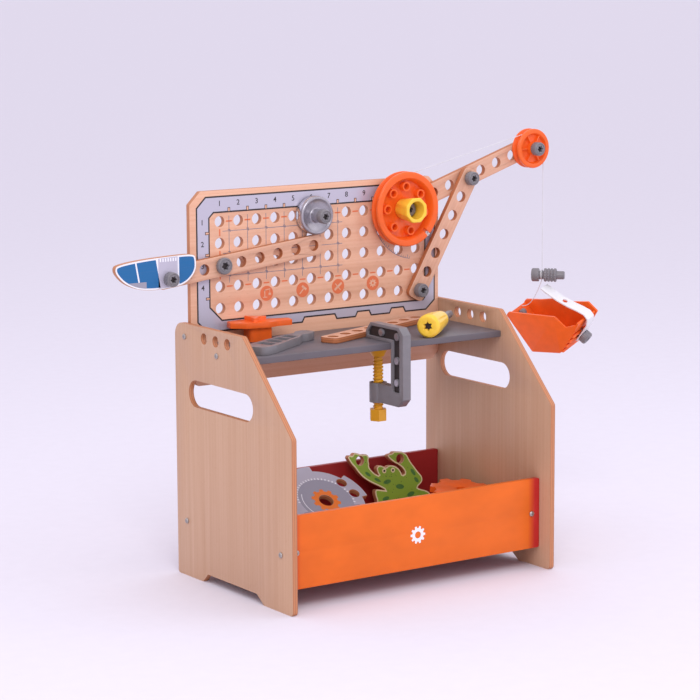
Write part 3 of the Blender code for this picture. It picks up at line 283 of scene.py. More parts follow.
def ink(name, colour, gloss=0.5, worn=0.12, metal=0.0):
    """Screen ink on wood, a little thin where the grain is open."""
    made = Finish(name, roughness=gloss, metallic=metal)
    grain = made.noise(made.stretched((0.05, 0.0015, 0.05)), 3)
    thin = tuple(c * (1 - worn) + worn * w for c, w in zip(colour[:3], (0.55, 0.3, 0.17)))
    made.colour(made.mix(made.ramp(grain, 0.45, 0.75), colour, (*thin, 1.0)))
    made.rough(grain * 0.14 + (gloss - 0.07))
    return made.bump(grain, 0.00004, 0.5).material


def metallic(name, colour, gloss, metal=1.0, brushed=0.1, ring=False):
    made = Finish(name, roughness=gloss, metallic=metal)
    fine = made.noise(made.stretched((0.0009, 0.0009, 0.0009)), 3)
    cloud = made.noise(made.stretched((0.01, 0.01, 0.01), (3, 3, 3)), 3)
    if ring:
        x = made.axis(made.place, "X")
        y = made.axis(made.place, "Y")
        reach = made.maths("SQRT", x * x + y * y)
        fine = made.maths("SINE", reach * 9000) * 0.5 + 0.5
    deep = tuple(c * 0.8 for c in colour[:3]) + (1.0,)
    made.colour(made.mix(made.ramp(cloud, 0.3, 0.75), deep, colour))
    made.rough(fine * brushed + cloud * 0.1 + (gloss - 0.08))
    return made.bump(fine, 0.00003, 0.4).material


BEECH = rgb(206, 166, 136)
BEECH_STREAK = rgb(193, 149, 117)
BEECH_EDGE = rgb(176, 116, 80)
BOARD = rgb(232, 182, 152)
BOARD_STREAK = rgb(220, 164, 132)
BURNT = rgb(168, 100, 60)

FINISHES = {
    "panel": wood("beech_panel", BEECH, BEECH_STREAK, BEECH_EDGE, "Y"),
    "board": wood("beech_board", BOARD, BOARD_STREAK, BEECH_EDGE, "X"),
    "strip": wood("beech_strip", rgb(226, 178, 150), rgb(208, 154, 124), BURNT, "X"),
    "worktop": painted("worktop_paint", rgb(106, 100, 106), gloss=0.4),
    "front": painted("orange_paint", rgb(234, 108, 20), rgb(192, 40, 38), 0.158, 0.168),
    "box_red": painted("red_paint", rgb(160, 34, 36), gloss=0.48),
    "screw": metallic("screw_steel", rgb(196, 190, 186), 0.34),
    "grey": moulded("grey_plastic", rgb(128, 124, 128), 0.36, 0.06, 0.15),
    # dark: painted shade, a near-black finish for thin sheets on the floors of recesses and pockets, standing
    # in for the shadow there
    "dark": moulded("painted_recess_shade", rgb(52, 44, 44), 0.5),
    "orange": moulded("orange_plastic", rgb(250, 104, 30), 0.36, 0.07, 0.1),
    "yellow": moulded("yellow_plastic", rgb(255, 208, 66), 0.34, 0.05, 0.15),
    "amber": moulded("amber_plastic", rgb(228, 164, 36), 0.38, 0.07, 0.1),
    "white": moulded("white_plastic", rgb(232, 232, 236), 0.34, 0.03, 0.2),
    "silver": metallic("roller_silver", rgb(176, 172, 180), 0.30, 0.75, 0.12, True),
    "chrome": metallic("roller_rim", rgb(224, 222, 226), 0.16, 1.0, 0.04),
    "string": moulded("white_string", rgb(226, 226, 228), 0.7, 0.08),
    "ink_black": ink("ink_black", rgb(40, 34, 38), 0.45, 0.03),
    "ink_silver": ink("ink_silver", rgb(192, 188, 204), 0.36, 0.03, 0.25),
    "ink_orange": ink("ink_orange", rgb(222, 112, 66), 0.5, 0.12),
    "ink_line": ink("ink_line", rgb(210, 110, 70), 0.5, 0.3),
    "ink_blue": ink("ink_blue", rgb(70, 100, 136), 0.5, 0.12),
    "ink_white": ink("ink_white", rgb(238, 238, 244), 0.42, 0.02),
    "ink_sea": ink("ink_sea", rgb(2, 100, 158), 0.42, 0.02),
    "ink_grey": ink("ink_grey", rgb(152, 150, 166), 0.45, 0.04),
    "ink_gear": ink("ink_gear", rgb(232, 120, 40), 0.45, 0.04),
    "ink_green": ink("ink_green", rgb(140, 180, 60), 0.45, 0.06),
    "ink_moss": ink("ink_moss", rgb(74, 130, 62), 0.45, 0.04),
    "ink_cream": ink("ink_cream", rgb(236, 226, 180), 0.45, 0.04),
}

# ---- Frames and outlines


def axes(origin, x_axis, z_axis):
    """A frame with this x axis, and a z axis as near to z_axis as it can be."""
    x = Vector(x_axis).normalized()
    y = Vector(z_axis).cross(x).normalized()
    z = x.cross(y)
    return Matrix.Translation(origin) @ Matrix((x, y, z)).transposed().to_4x4()


def facing_front(x, depth, z, tilt=0.0):
    """Local x is to the right, local y up and local z to the front, turned by tilt."""
    return axes((x, -depth, z), (math.cos(tilt), 0, math.sin(tilt)), (0, -1, 0))


def moved(x, y, z=0.0):
    return Matrix.Translation((x, y, z))


def peg(column, row):
    """The x and z of a pegboard hole. Column 1 is at the left, and row 1 at the top."""
    return FIRST_COLUMN + PITCH * (column - 1), LAST_ROW + PITCH * (ROWS - row)


def layer(number):
    """The depth of the rear face of a ply layer. Layer 0 lies against the pegboard."""
    return BOARD_FRONT + GAP + number * (PLY + GAP)


def along(x, z, tilt, distance):
    return x + distance * math.cos(tilt), z + distance * math.sin(tilt)


def circle(x, y, radius, sides=40):
    turns = [2 * math.pi * i / sides for i in range(sides)]
    return [(x + radius * math.cos(t), y + radius * math.sin(t)) for t in turns]


def rounded(corners, radii, steps=6):
    """The polygon with each corner replaced by an arc of its radius, or left when it is 0."""
    points = []
    count = len(corners)
    for i, corner in enumerate(corners):
        here = Vector(corner)
        radius = radii[i] if isinstance(radii, (list, tuple)) else radii
        back = (Vector(corners[i - 1]) - here).normalized()
        on = (Vector(corners[(i + 1) % count]) - here).normalized()
        half = back.angle(on) / 2
        if radius == 0 or half > 1.55:
            points.append(tuple(here))
            continue
        centre = here + (back + on).normalized() * radius / math.sin(half)
        start = here + back * radius / math.tan(half) - centre
        sweep = start.angle_signed(here + on * radius / math.tan(half) - centre)
        for step in range(steps + 1):
            turn = Matrix.Rotation(-sweep * step / steps, 2)
            points.append(tuple(centre + turn @ start))
    return points


def rectangle(x0, y0, x1, y1):
    return [(x0, y0), (x1, y0), (x1, y1), (x0, y1)]


def smooth(points, rounds=2):
    """Cuts every corner, twice over by default."""
    for _ in range(rounds):
        cut_points = []
        for (ax, ay), (bx, by) in zip(points, points[1:] + points[:1]):
            cut_points.append((0.75 * ax + 0.25 * bx, 0.75 * ay + 0.25 * by))
            cut_points.append((0.25 * ax + 0.75 * bx, 0.25 * ay + 0.75 * by))
        points = cut_points
    return points


def star(radius, inner, lobes=6, turned=0.11):
    points = []
    for i in range(2 * lobes):
        reach = inner if i % 2 else radius
        turn = turned + math.pi * i / lobes
        points.append((reach * math.cos(turn), reach * math.sin(turn)))
    return points


def toothed(root, tip, teeth, turned=0.0):
    points = []
    for i in range(teeth):
        for offset, reach in ((-0.30, root), (-0.20, tip), (0.20, tip), (0.30, root)):
            turn = turned + 2 * math.pi * (i + offset) / teeth
            points.append((reach * math.cos(turn), reach * math.sin(turn)))
    return points


# ---- Meshes


def solid(name, points, faces, place):
    """A mesh object in the bench's frame, its faces turned outwards. It isn't a piece yet."""
    mesh = bpy.data.meshes.new(name)
    mesh.from_pydata(points, [], faces)
    soup = bmesh.new()
    soup.from_mesh(mesh)
    bmesh.ops.recalc_face_normals(soup, faces=soup.faces[:])
    soup.to_mesh(mesh)
    soup.free()
    obj = bpy.data.objects.new(name, mesh)
    bpy.context.scene.collection.objects.link(obj)
    obj.matrix_world = BENCH @ place
    return obj


def within(point, sides):
    crossed = 0
    for start, end in sides:
        if (start.y > point.y) != (end.y > point.y):
            share = (point.y - start.y) / (end.y - start.y)
            crossed += start.x + share * (end.x - start.x) > point.x
    return crossed % 2 == 1


def slab(name, outline, thickness, place, holes=()):
    """A flat piece: the outline less its holes in local XY, from z = 0 to the thickness."""
    flat = []
    edges = []
    for loop in (outline, *holes):
        first = len(flat)
        flat += [Vector(point) for point in loop]
        edges += [(first + i, first + (i + 1) % len(loop)) for i in range(len(loop))]
    found = delaunay_2d_cdt(flat, edges, [], 0, 1e-9)
    place_of = {source: i for i, sources in enumerate(found[3]) for source in sources}
    count = len(found[0])
    points = [(x, y, z) for z in (0, thickness) for x, y in found[0]]
    faces = []
    sides = [(flat[start], flat[end]) for start, end in edges]
    for a, b, c in found[2]:
        middle = (found[0][a] + found[0][b] + found[0][c]) / 3
        if within(middle, sides):
            faces += [(c, b, a), (a + count, b + count, c + count)]
    for start, end in edges:
        a, b = place_of[start], place_of[end]
        faces.append((a, b, b + count, a + count))
    return solid(name, points, faces, place)


def lathe(name, profile, sides, place, ripple=None):
    """Turns a profile of (radius, z) round local z. It is a loop unless it starts on the axis.
    ripple gives a share to scale the radius by, from the turn and the height."""
    points = []
    rings = []
    for radius, z in profile:
        first = len(points)
        if radius == 0:
            points.append((0, 0, z))
            rings.append([first] * sides)
            continue
        for i in range(sides):
            turn = 2 * math.pi * i / sides
            reach = radius * (ripple(turn, radius, z) if ripple else 1)
            points.append((reach * math.cos(turn), reach * math.sin(turn), z))
        rings.append(list(range(first, first + sides)))
    following = rings[1:] + rings[:1] if profile[0][0] > 0 else rings[1:]
    faces = []
    for ring, other in zip(rings, following):
        for i in range(sides):
            j = (i + 1) % sides
            corners = dict.fromkeys((ring[i], ring[j], other[j], other[i]))
            if len(corners) > 2:
                faces.append(tuple(corners))
    return solid(name, points, faces, place)


def rod(name, radius, z0, z1, place, sides=40):
    return lathe(name, [(0, z0), (radius, z0), (radius, z1), (0, z1)], sides, place)


def combine(obj, other, operation):
    step = obj.modifiers.new(other.name, "BOOLEAN")
    step.operation = operation
    step.solver = "EXACT"
    step.object = other


def cut(obj, *cutters):
    for cutter in cutters:
        combine(obj, cutter, "DIFFERENCE")
    return obj


def join(obj, *others):
    for other in others:
        combine(obj, other, "UNION")
    return obj


def settle(obj, bevel, steps=2, sharp=35.0):
    """Makes the modifiers part of the mesh, rounds its edges, and removes the cutters."""
    cutters = [step.object for step in obj.modifiers if step.type == "BOOLEAN"]
    if bevel:
        rounding = obj.modifiers.new("rounding", "BEVEL")
        rounding.width = bevel
        rounding.segments = steps
        rounding.limit_method = "ANGLE"
        rounding.angle_limit = math.radians(30)
        rounding.use_clamp_overlap = True
    bpy.context.view_layer.update()
    graph = bpy.context.evaluated_depsgraph_get()
    mesh = bpy.data.meshes.new_from_object(obj.evaluated_get(graph))
    obj.modifiers.clear()
    obj.data = mesh
    mesh.polygons.foreach_set("use_smooth", [True] * len(mesh.polygons))
    mesh.set_sharp_from_angle(angle=math.radians(sharp))
    for cutter in cutters:
        bpy.data.objects.remove(cutter, do_unlink=True)
    return obj


def stand_for(obj, finish, *nodes, bevel=0.0004, steps=2, sharp=35.0):
    """Finishes a piece that takes the place of CAD nodes, and lets it ride with them."""
    settle(obj, bevel, steps, sharp)
    obj.data.materials.clear()
    obj.data.materials.append(FINISHES[finish])
    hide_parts(*nodes)
    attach(obj, BODY_OF[nodes[0]])
    return obj


def belong(obj, finish, node, bevel=0.0, steps=2, sharp=35.0):
    """Finishes an extra piece that goes with a CAD node, and lets it ride with it."""
    settle(obj, bevel, steps, sharp)
    obj.data.materials.clear()
    obj.data.materials.append(FINISHES[finish])
    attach(obj, BODY_OF[node])
    return obj


def line(x0, y0, x1, y1, width):
    """The outline of a straight line of ink."""
    along_it = (Vector((x1, y1)) - Vector((x0, y0))).normalized() * (width / 2)
    side = Vector((-along_it.y, along_it.x))
    start, end = Vector((x0, y0)), Vector((x1, y1))
    return [tuple(start - side), tuple(end - side), tuple(end + side), tuple(start + side)]


INK = 0.00010  # thickness of one coat


def prints(name, loops, finish, node, place, coats=1, holes=()):
    """Flat shapes of ink on a face, made one piece. Each coat lies on the one below."""
    first = None
    for i, loop in enumerate(loops):
        own = holes if i == 0 else ()
        at = place @ moved(0, 0, INK * (coats - 0.6))
        shape = slab(f"{name}_{i}", loop, INK, at, own)
        if first is None:
            first = shape
            continue
        soup = bmesh.new()
        soup.from_mesh(first.data)
        soup.from_mesh(shape.data)
        soup.to_mesh(first.data)
        soup.free()
        bpy.data.objects.remove(shape, do_unlink=True)
    first.name = name
    return belong(first, finish, node)

# ---- Fasteners


def side_screw(node, x, depth, z):
    """A wood screw's countersunk head with a cross slot, on a side panel."""
    outward = 1 if x > 0 else -1
    place = axes((outward * HALF_WIDTH, -depth, z), (0, 1, 0), (outward, 0, 0))
    screw_head(node, place, 0.0145)


def screw_head(node, place, length):
    profile = [
        (0, -length),
        (0.0015, -length + 0.002),
        (0.0015, GAP),
        (0.0032, GAP),
        (0.0033, GAP + 0.0005),
        (0.0026, GAP + 0.0013),
        (0.0012, GAP + 0.0016),
        (0, GAP + 0.00165),
    ]
    head = lathe(node + "_fine", profile, 32, place)
    for turn in (0.4, 0.4 + math.pi / 2):
        slot_place = place @ Matrix.Rotation(turn, 4, "Z") @ moved(0, 0, GAP + 0.0007)
        bar = rectangle(-0.0021, -0.0004, 0.0021, 0.0004)
        cut(head, slab(f"{node}_slot_{turn:.1f}", bar, 0.003, slot_place))
    stand_for(head, "screw", node, bevel=0.00012)


def bolt(node, place, grip, head_r=BOLT_HEAD_R, head_height=BOLT_HEAD_HEIGHT, end=0.0012):
    """A toy bolt: a knurled head with a six-lobed recess and a rim round it, and a threaded
    shank below. The head stands on local z = 0."""
    tail = -grip - 0.008 - end
    profile = [
        (0, tail),
        (BOLT_R * 0.80, tail),
        (BOLT_R * 0.94, tail + 0.0009),
        (BOLT_R * 0.97, tail + 0.0016),
        (BOLT_R * 0.97, 0),
        (head_r - 0.0006, 0),
        (head_r, 0.0007),
        (head_r, head_height - 0.0016),
        (head_r - 0.0004, head_height - 0.0007),
        (head_r - 0.0012, head_height),
        (head_r * 0.80, head_height),
        (head_r * 0.76, head_height - 0.0006),
        (head_r * 0.70, head_height - 0.0006),
        (head_r * 0.66, head_height - 0.0001),
        (0, head_height - 0.0001),
    ]
    knurls = 20

    def ripple(turn, radius, z):
        ribbed = radius > head_r * 0.97 and 0.0005 < z < head_height - 0.001
        return 1 - 0.035 * max(0.0, math.cos(knurls * turn)) ** 2 if ribbed else 1

    made = lathe(node + "_fine", profile, 120, place, ripple)
    above = place @ moved(0, 0, head_height - 0.0038)
    recess = rounded(star(head_r * 0.60, head_r * 0.36), 0.0007, 3)
    cut(made, slab(node + "_star", recess, 0.006, above))
    stand_for(made, "grey", node, bevel=0.00018, sharp=40)
    # A near-black sheet on the floor of the star recess: painted shade in the recess.
    recess_shade_place = place @ moved(0, 0, head_height - 0.00375)
    floor = slab(node + "_recess", recess, 0.0001, recess_shade_place)
    belong(floor, "dark", node)


def nut(node, place, height=0.008, bands=0):
    """A ribbed nut from local z = 0 down to -height, with bands round it if it is long."""
    profile = [(BOLT_R + 0.0005, -height), (NUT_R - 0.0011, -height), (NUT_R - 0.0004, -height + 0.0008)]
    for i in range(bands):
        z = -height + height * (i + 1) / (bands + 1)
        profile += [
            (NUT_R - 0.0004, z - 0.0009),
            (NUT_R - 0.0013, z - 0.0005),
            (NUT_R - 0.0013, z + 0.0005),
            (NUT_R - 0.0004, z + 0.0009),
        ]
    profile += [(NUT_R - 0.0004, -0.0008), (NUT_R - 0.0011, 0), (BOLT_R + 0.0005, 0)]

    def ripple(turn, radius, z):
        return 1 + 0.035 * math.cos(16 * turn) if radius > NUT_R * 0.9 else 1

    stand_for(lathe(node + "_fine", profile, 128, place, ripple), "grey", node, bevel=0.0002)


def fasten(name, x, z, front, rear, **head):
    """A bolt and nut that face the front, gripping from depth front back to depth rear."""
    grip = front - rear + 2 * GAP
    bolt(name + "_bolt", facing_front(x, front + GAP, z), grip, **head)
    nut(name + "_nut", facing_front(x, rear - GAP, z))


# ---- Bench structure


def side_panel(node, sign):
    corners = [
        (0, 0),
        (0.0552, 0),
        (0.0659, 0.0103),
        (0.170, 0.0103),
        (0.1846, 0),
        (PANEL_DEPTH, 0),
        (PANEL_DEPTH, 0.1951),
        (0.1448, PANEL_HEIGHT),
        (0, PANEL_HEIGHT),
    ]
    radii = [0.004, 0.002, 0.003, 0.003, 0.002, 0.005, 0.006, 0.006, 0.015]
    handle = rectangle(0.0450 - 0.0156, 0.2166 - 0.0156, 0.1506 + 0.0156, 0.2166 + 0.0156)
    holes = [rounded(handle, 0.01558, 16)]
    holes += [circle(0.0639 + PITCH * i, 0.2822, HOLE_R) for i in range(3)]
    outer = HALF_WIDTH if sign > 0 else -INNER
    place = axes((outer, 0, 0), (0, -1, 0), (-1, 0, 0))
    made = slab(node + "_fine", rounded(corners, radii, 8), PLY, place, holes)
    stand_for(made, "panel", node, bevel=0.0005)


side_panel("left_side_panel", -1)
side_panel("right_side_panel", 1)

chamfer_low, chamfer_top = 0.009, 0.0145
board_corners = [
    (-INSIDE + chamfer_low, BOARD_BOTTOM),
    (INSIDE - chamfer_low, BOARD_BOTTOM),
    (INSIDE, BOARD_BOTTOM + chamfer_low),
    (INSIDE, BOARD_TOP - chamfer_top),
    (INSIDE - chamfer_top, BOARD_TOP),
    (-INSIDE + chamfer_top, BOARD_TOP),
    (-INSIDE, BOARD_TOP - chamfer_top),
    (-INSIDE, BOARD_BOTTOM + chamfer_low),
]
pegs = [peg(c, r) for c in range(1, COLUMNS + 1) for r in range(1, ROWS + 1)]
board = slab(
    "pegboard_fine",
    rounded(board_corners, 0.003, 4),
    PLY,
    facing_front(0, BOARD_FRONT - PLY, 0),
    [circle(x, z, HOLE_R, 36) for x, z in pegs],
)
stand_for(board, "board", "pegboard", bevel=0.0004)

top_place = moved(0, 0, WORKTOP_TOP - WORKTOP_THICKNESS)
top_outline = rectangle(-INSIDE, -WORKTOP_FRONT, INSIDE, -BOARD_FRONT - GAP)
worktop = slab("worktop_fine", top_outline, WORKTOP_THICKNESS, top_place)
stand_for(worktop, "worktop", "worktop", bevel=0.0009, steps=3)

FRONT_SCREW = (0.1633, 0.0648)
front_outline = rounded(rectangle(-INSIDE, BOX_BOTTOM, INSIDE, 0.106), 0.002, 4)
front_holes = [circle(s * FRONT_SCREW[0], FRONT_SCREW[1], 0.0018, 16) for s in (-1, 1)]
front_place = facing_front(0, BOX_FRONT - PLY, 0)
front_panel = slab("box_front_fine", front_outline, PLY, front_place, front_holes)
stand_for(front_panel, "front", "box_front_panel", bevel=0.0007, steps=3)
rear_outline = rounded(rectangle(-INSIDE, BOX_BOTTOM, INSIDE, 0.1076), 0.002, 4)
rear_panel = slab("box_rear_fine", rear_outline, PLY, facing_front(0, BOARD_FRONT - PLY, 0))
stand_for(rear_panel, "box_red", "box_rear_panel", bevel=0.0007, steps=3)
floor_outline = rectangle(-INSIDE, -BOX_FRONT + PLY + GAP, INSIDE, -BOARD_FRONT - GAP)
box_floor = slab("box_floor_fine", floor_outline, PLY, moved(0, 0, BOX_BOTTOM))
stand_for(box_floor, "box_red", "box_floor", bevel=0.0004)

board_middle = BOARD_FRONT - PLY / 2
SIDE_SCREWS = {
    "board": (board_middle, 0.2796),
    "worktop": (0.0913, WORKTOP_TOP - WORKTOP_THICKNESS / 2),
    "rear": (board_middle, 0.0649),
    "front": (BOX_FRONT - PLY / 2, 0.0644),
}
for side, sign in (("left", -1), ("right", 1)):
    for what, (depth, z) in SIDE_SCREWS.items():
        side_screw(f"{side}_{what}_screw", sign, depth, z)
    at = facing_front(sign * FRONT_SCREW[0], BOX_FRONT, FRONT_SCREW[1])
    screw_head(f"box_{side}_screw", at, PLY)

# ---- Strips


def strip(node, count, place, pivot_hole=1):
    """A ply strip with a row of holes. Local zero is its pivot hole, at the rear face."""
    start = -(pivot_hole - 1) * PITCH
    end = start + (count - 1) * PITCH
    half = STRIP_HALF_WIDTH
    corners = rectangle(start - STRIP_OVERHANG, -half, end + STRIP_OVERHANG, half)
    holes = [circle(start + PITCH * i, 0, HOLE_R) for i in range(count)]
    made = slab(node + "_fine", rounded(corners, 0.006, 8), PLY, place, holes)
    stand_for(made, "strip", node, bevel=0.0004)


arm_x, arm_z = peg(1, 3)
ARM_TILT = math.radians(6.6)
rear_of_board = BOARD_FRONT - PLY
strip("arm_strip", 9, facing_front(arm_x, layer(0), arm_z, ARM_TILT), 4)
fasten("arm", arm_x, arm_z, layer(0) + PLY, rear_of_board, head_r=0.0098, head_height=0.0054)

shuttle_x, shuttle_z = along(arm_x, arm_z, ARM_TILT, -PITCH * 3)
SHUTTLE = [
    (-0.0700, 0.0165),
    (-0.0660, 0.0205),
    (-0.0350, 0.0243),
    (0.0080, 0.0262),
    (0.0300, 0.0264),
    (0.0348, 0.0225),
    (0.0350, 0.0070),
    (0.0235, -0.0055),
    (0.0080, -0.0102),
    (-0.0330, -0.0115),
    (-0.0560, -0.0030),
    (-0.0680, 0.0090),
]
shuttle_outline = smooth(SHUTTLE, 4)
shuttle_place = facing_front(shuttle_x, layer(1), shuttle_z)
shuttle_hole = circle(0, 0, HOLE_R)
shuttle = slab("shuttle_fine", shuttle_outline, PLY, shuttle_place, [shuttle_hole])
stand_for(shuttle, "panel", "shuttle", bevel=0.0004)
fasten("shuttle", shuttle_x, shuttle_z, layer(1) + PLY, layer(0))

# ---- Crane

WINCH_X, WINCH_Z = peg(11, 1)
strut_x, strut_z = peg(12, 5)
BOOM_TILT = math.radians(18.3)
tip_x, tip_z = along(WINCH_X, WINCH_Z, BOOM_TILT, PITCH * 8)
join_x, join_z = along(WINCH_X, WINCH_Z, BOOM_TILT, PITCH * 4)
strip("boom", 9, facing_front(WINCH_X, layer(0), WINCH_Z, BOOM_TILT))

strut_foot = Vector((strut_x, -layer(0) - 0.0008, strut_z))
strut_top = Vector((join_x, -layer(1) - 0.0020, join_z))
lean = (strut_top - strut_foot).normalized()
play = (PITCH * 6 - (strut_top - strut_foot).length) / 2
strip("strut", 7, axes(strut_foot - lean * play, lean, (0, -1, 0)))
fasten("strut_foot", strut_x, strut_z, layer(0) + PLY + 0.0014, rear_of_board)
fasten("strut_top", join_x, join_z, layer(1) + PLY + 0.0026, layer(0))

WHEEL_REAR = layer(1)
WHEEL_R = 0.0445
DRUM_R = 0.038
WHEEL_THICKNESS = 0.014
WEB = 0.0028
GROOVE = (0.0045, 0.0095)
DISH_R = DRUM_R - 0.0028
bore_r = BOLT_R + 0.0005
winch_place = facing_front(WINCH_X, WHEEL_REAR, WINCH_Z)
winch = lathe(
    "winch_wheel_fine",
    [
        (bore_r, 0),
        (WHEEL_R - 0.001, 0),
        (WHEEL_R, 0.001),
        (WHEEL_R, GROOVE[0] - 0.0015),
        (DRUM_R, GROOVE[0]),
        (DRUM_R, GROOVE[1]),
        (WHEEL_R, GROOVE[1] + 0.0012),
        (WHEEL_R, WHEEL_THICKNESS - 0.001),
        (WHEEL_R - 0.001, WHEEL_THICKNESS),
        (DISH_R + 0.0022, WHEEL_THICKNESS),
        (DISH_R, WHEEL_THICKNESS - 0.0028),
        (DISH_R - 0.0015, WEB),
        (bore_r, WEB),
    ],
    128,
    winch_place,
)
BOSS_TURNS = (90, 39, -12, -76, -130, 178, 134)
for number, degrees in enumerate(BOSS_TURNS):
    turn = math.radians(degrees)
    at = winch_place @ moved(0.0268 * math.cos(turn), 0.0268 * math.sin(turn), WEB - 0.001)
    ring = [circle(0, 0, 0.0038, 28)]
    join(winch, slab(f"winch_boss_{number}", circle(0, 0, 0.0056, 28), 0.0085, at, ring))
KNOT_TURN = math.radians(-47)
knot_frame = winch_place @ Matrix.Rotation(KNOT_TURN, 4, "Z")
notch = rectangle(DISH_R - 0.003, -0.0022, WHEEL_R + 0.002, 0.0022)
cut(winch, slab("winch_notch", notch, 0.01, knot_frame @ moved(0, 0, GROOVE[1] - 0.001)))
stand_for(winch, "orange", "winch_wheel", bevel=0.0004)

KNOB_LENGTH = 0.0285
knob_place = winch_place @ moved(0, 0, WEB + GAP)


def knob_ripple(turn, radius, z):
    """Eight flats with rounded corners outside the bore."""
    if radius < 0.0121:
        return 1
    from_flat = (turn + math.pi / 8) % (math.pi / 4) - math.pi / 8
    return min(1.0, 0.945 / math.cos(from_flat - 0.0)) if radius > 0.0121 else 1


knob = lathe(
    "winch_knob_fine",
    [
        (bore_r, 0),
        (0.0118, 0),
        (0.0124, 0.0008),
        (0.0152, KNOB_LENGTH - 0.0050),
        (0.0154, KNOB_LENGTH - 0.0038),
        (0.0154, KNOB_LENGTH - 0.0010),
        (0.0146, KNOB_LENGTH),
        (0.0112, KNOB_LENGTH),
        (0.0105, KNOB_LENGTH - 0.0008),
        (0.0105, 0.0055),
        (bore_r, 0.0055),
    ],
    128,
    knob_place,
    knob_ripple,
)
stand_for(knob, "yellow", "winch_knob", bevel=0.0004, sharp=30)
# A near-black ring in the knob's bore, round the bolt head: painted shade in the gap.
bore_painted_shade = lathe(
    "winch_knob_bore_painted_shade",
    [(BOLT_HEAD_R + 0.0004, 0.0056), (0.0104, 0.0056), (0.0104, 0.0058), (BOLT_HEAD_R + 0.0004, 0.0058)],
    64,
    knob_place,
)
belong(bore_painted_shade, "dark", "winch_knob")
fasten("winch", WINCH_X, WINCH_Z, WHEEL_REAR + WEB + GAP + 0.0055, rear_of_board)

PULLEY_R = 0.024
PULLEY_GROOVE_R = 0.019
PULLEY_HUB = 0.0168
PULLEY_DISH_R = PULLEY_GROOVE_R - 0.0022
PULLEY_FLOOR = 0.0095
pulley_place = facing_front(tip_x, WHEEL_REAR, tip_z)
pulley = lathe(
    "pulley_fine",
    [
        (bore_r, 0),
        (PULLEY_R - 0.001, 0),
        (PULLEY_R, 0.001),
        (PULLEY_R, GROOVE[0] - 0.0015),
        (PULLEY_GROOVE_R, GROOVE[0]),
        (PULLEY_GROOVE_R, GROOVE[1]),
        (PULLEY_R, GROOVE[1] + 0.0012),
        (PULLEY_R, WHEEL_THICKNESS - 0.001),
        (PULLEY_R - 0.001, WHEEL_THICKNESS),
        (PULLEY_DISH_R + 0.002, WHEEL_THICKNESS),
        (PULLEY_DISH_R, PULLEY_FLOOR),
        (0.0085, PULLEY_FLOOR),
        (0.0085, PULLEY_HUB),
        (bore_r, PULLEY_HUB),
    ],
    112,
    pulley_place,
)
for number in range(6):
    rib = rectangle(0.0075, -0.0007, PULLEY_DISH_R + 0.001, 0.0007)
    rib_place = pulley_place @ Matrix.Rotation(number * math.pi / 3, 4, "Z")
    join(pulley, slab(f"pulley_rib_{number}", rib, 0.0045, rib_place @ moved(0, 0, PULLEY_FLOOR - 0.001)))
stand_for(pulley, "orange", "pulley", bevel=0.0003)
fasten("pulley", tip_x, tip_z, WHEEL_REAR + PULLEY_HUB, layer(0))

# ---- Strings

STRING_R = 0.00045


def cord_tube(name, path, twist=0.0022):
    """A string along a path, with the slow spiral swelling of its twisted plies."""
    line_of = [Vector(point) for point in path]
    fine = [line_of[0]]
    for a, b in zip(line_of, line_of[1:]):
        steps = max(1, round((b - a).length / 0.0006))
        fine += [a.lerp(b, (i + 1) / steps) for i in range(steps)]
    sides = 8
    points, faces = [], []
    walked = 0.0
    side = None
    for i, here in enumerate(fine):
        before, after = fine[max(i - 1, 0)], fine[min(i + 1, len(fine) - 1)]
        ahead = (after - before).normalized()
        if side is None:
            side = ahead.orthogonal().normalized()
        side = (side - ahead * side.dot(ahead)).normalized()
        up = ahead.cross(side)
        walked += (here - before).length if i else 0
        for s in range(sides):
            turn = 2 * math.pi * s / sides
            swell = 0.9 + 0.1 * math.cos(2 * (turn - 2 * math.pi * walked / twist))
            reach = STRING_R * swell
            points.append(here + side * (reach * math.cos(turn)) + up * (reach * math.sin(turn)))
        if i:
            a, b = (i - 1) * sides, i * sides
            for s in range(sides):
                t = (s + 1) % sides
                faces.append((a + s, a + t, b + t, b + s))
    faces.append(tuple(range(sides)))
    faces.append(tuple(range(len(points) - sides, len(points))))
    return solid(name, points, faces, Matrix())


STRING_DEPTH = WHEEL_REAR + (GROOVE[0] + GROOVE[1]) / 2
drum_path_r = DRUM_R + STRING_R + 0.0003
pulley_path_r = PULLEY_GROOVE_R + STRING_R + 0.0003
reach_over = math.hypot(tip_x - WINCH_X, tip_z - WINCH_Z)
string_tilt = BOOM_TILT - math.asin((drum_path_r - pulley_path_r) / reach_over)
hoist_path = []
for i in range(61):
    turn = string_tilt + math.pi / 2 + math.radians(200 - 200 * i / 60)
    x, z = along(WINCH_X, WINCH_Z, turn, drum_path_r)
    hoist_path.append((x, -STRING_DEPTH, z))
for i in range(25):
    turn = (string_tilt + math.pi / 2) * (1 - i / 24)
    x, z = along(tip_x, tip_z, turn, pulley_path_r)
    hoist_path.append((x, -STRING_DEPTH, z))
stand_for(cord_tube("hoist_string_fine", hoist_path), "string", "hoist_string", bevel=0, sharp=80)

HANGER_HEIGHT = 0.3125
DROP_X = tip_x + pulley_path_r
drop_top = Vector((DROP_X, -STRING_DEPTH, tip_z - GAP))
drop_end = Vector((DROP_X, -STRING_DEPTH, HANGER_HEIGHT + BOLT_R + 0.0004))
drop = cord_tube("drop_string_fine", [drop_top, drop_end])
settle(drop, 0, sharp=80)
drop.data.materials.append(FINISHES["string"])
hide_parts("drop_string")
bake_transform(drop)

# The string's knot on the winch: a few crossed turns in the notch of the rim.
knot_path = []
for i in range(61):
    turn = 2 * math.pi * i / 60
    x = DRUM_R + 0.0042 + 0.0020 * math.cos(3 * turn)
    y = 0.0021 * math.sin(2 * turn)
    knot_path.append(knot_frame @ Vector((x, y, GROOVE[1] + 0.0030 + 0.0012 * math.sin(3 * turn + 1))))
belong(cord_tube("winch_knot", knot_path), "string", "winch_wheel", sharp=80)

# ---- Roller on the pegboard

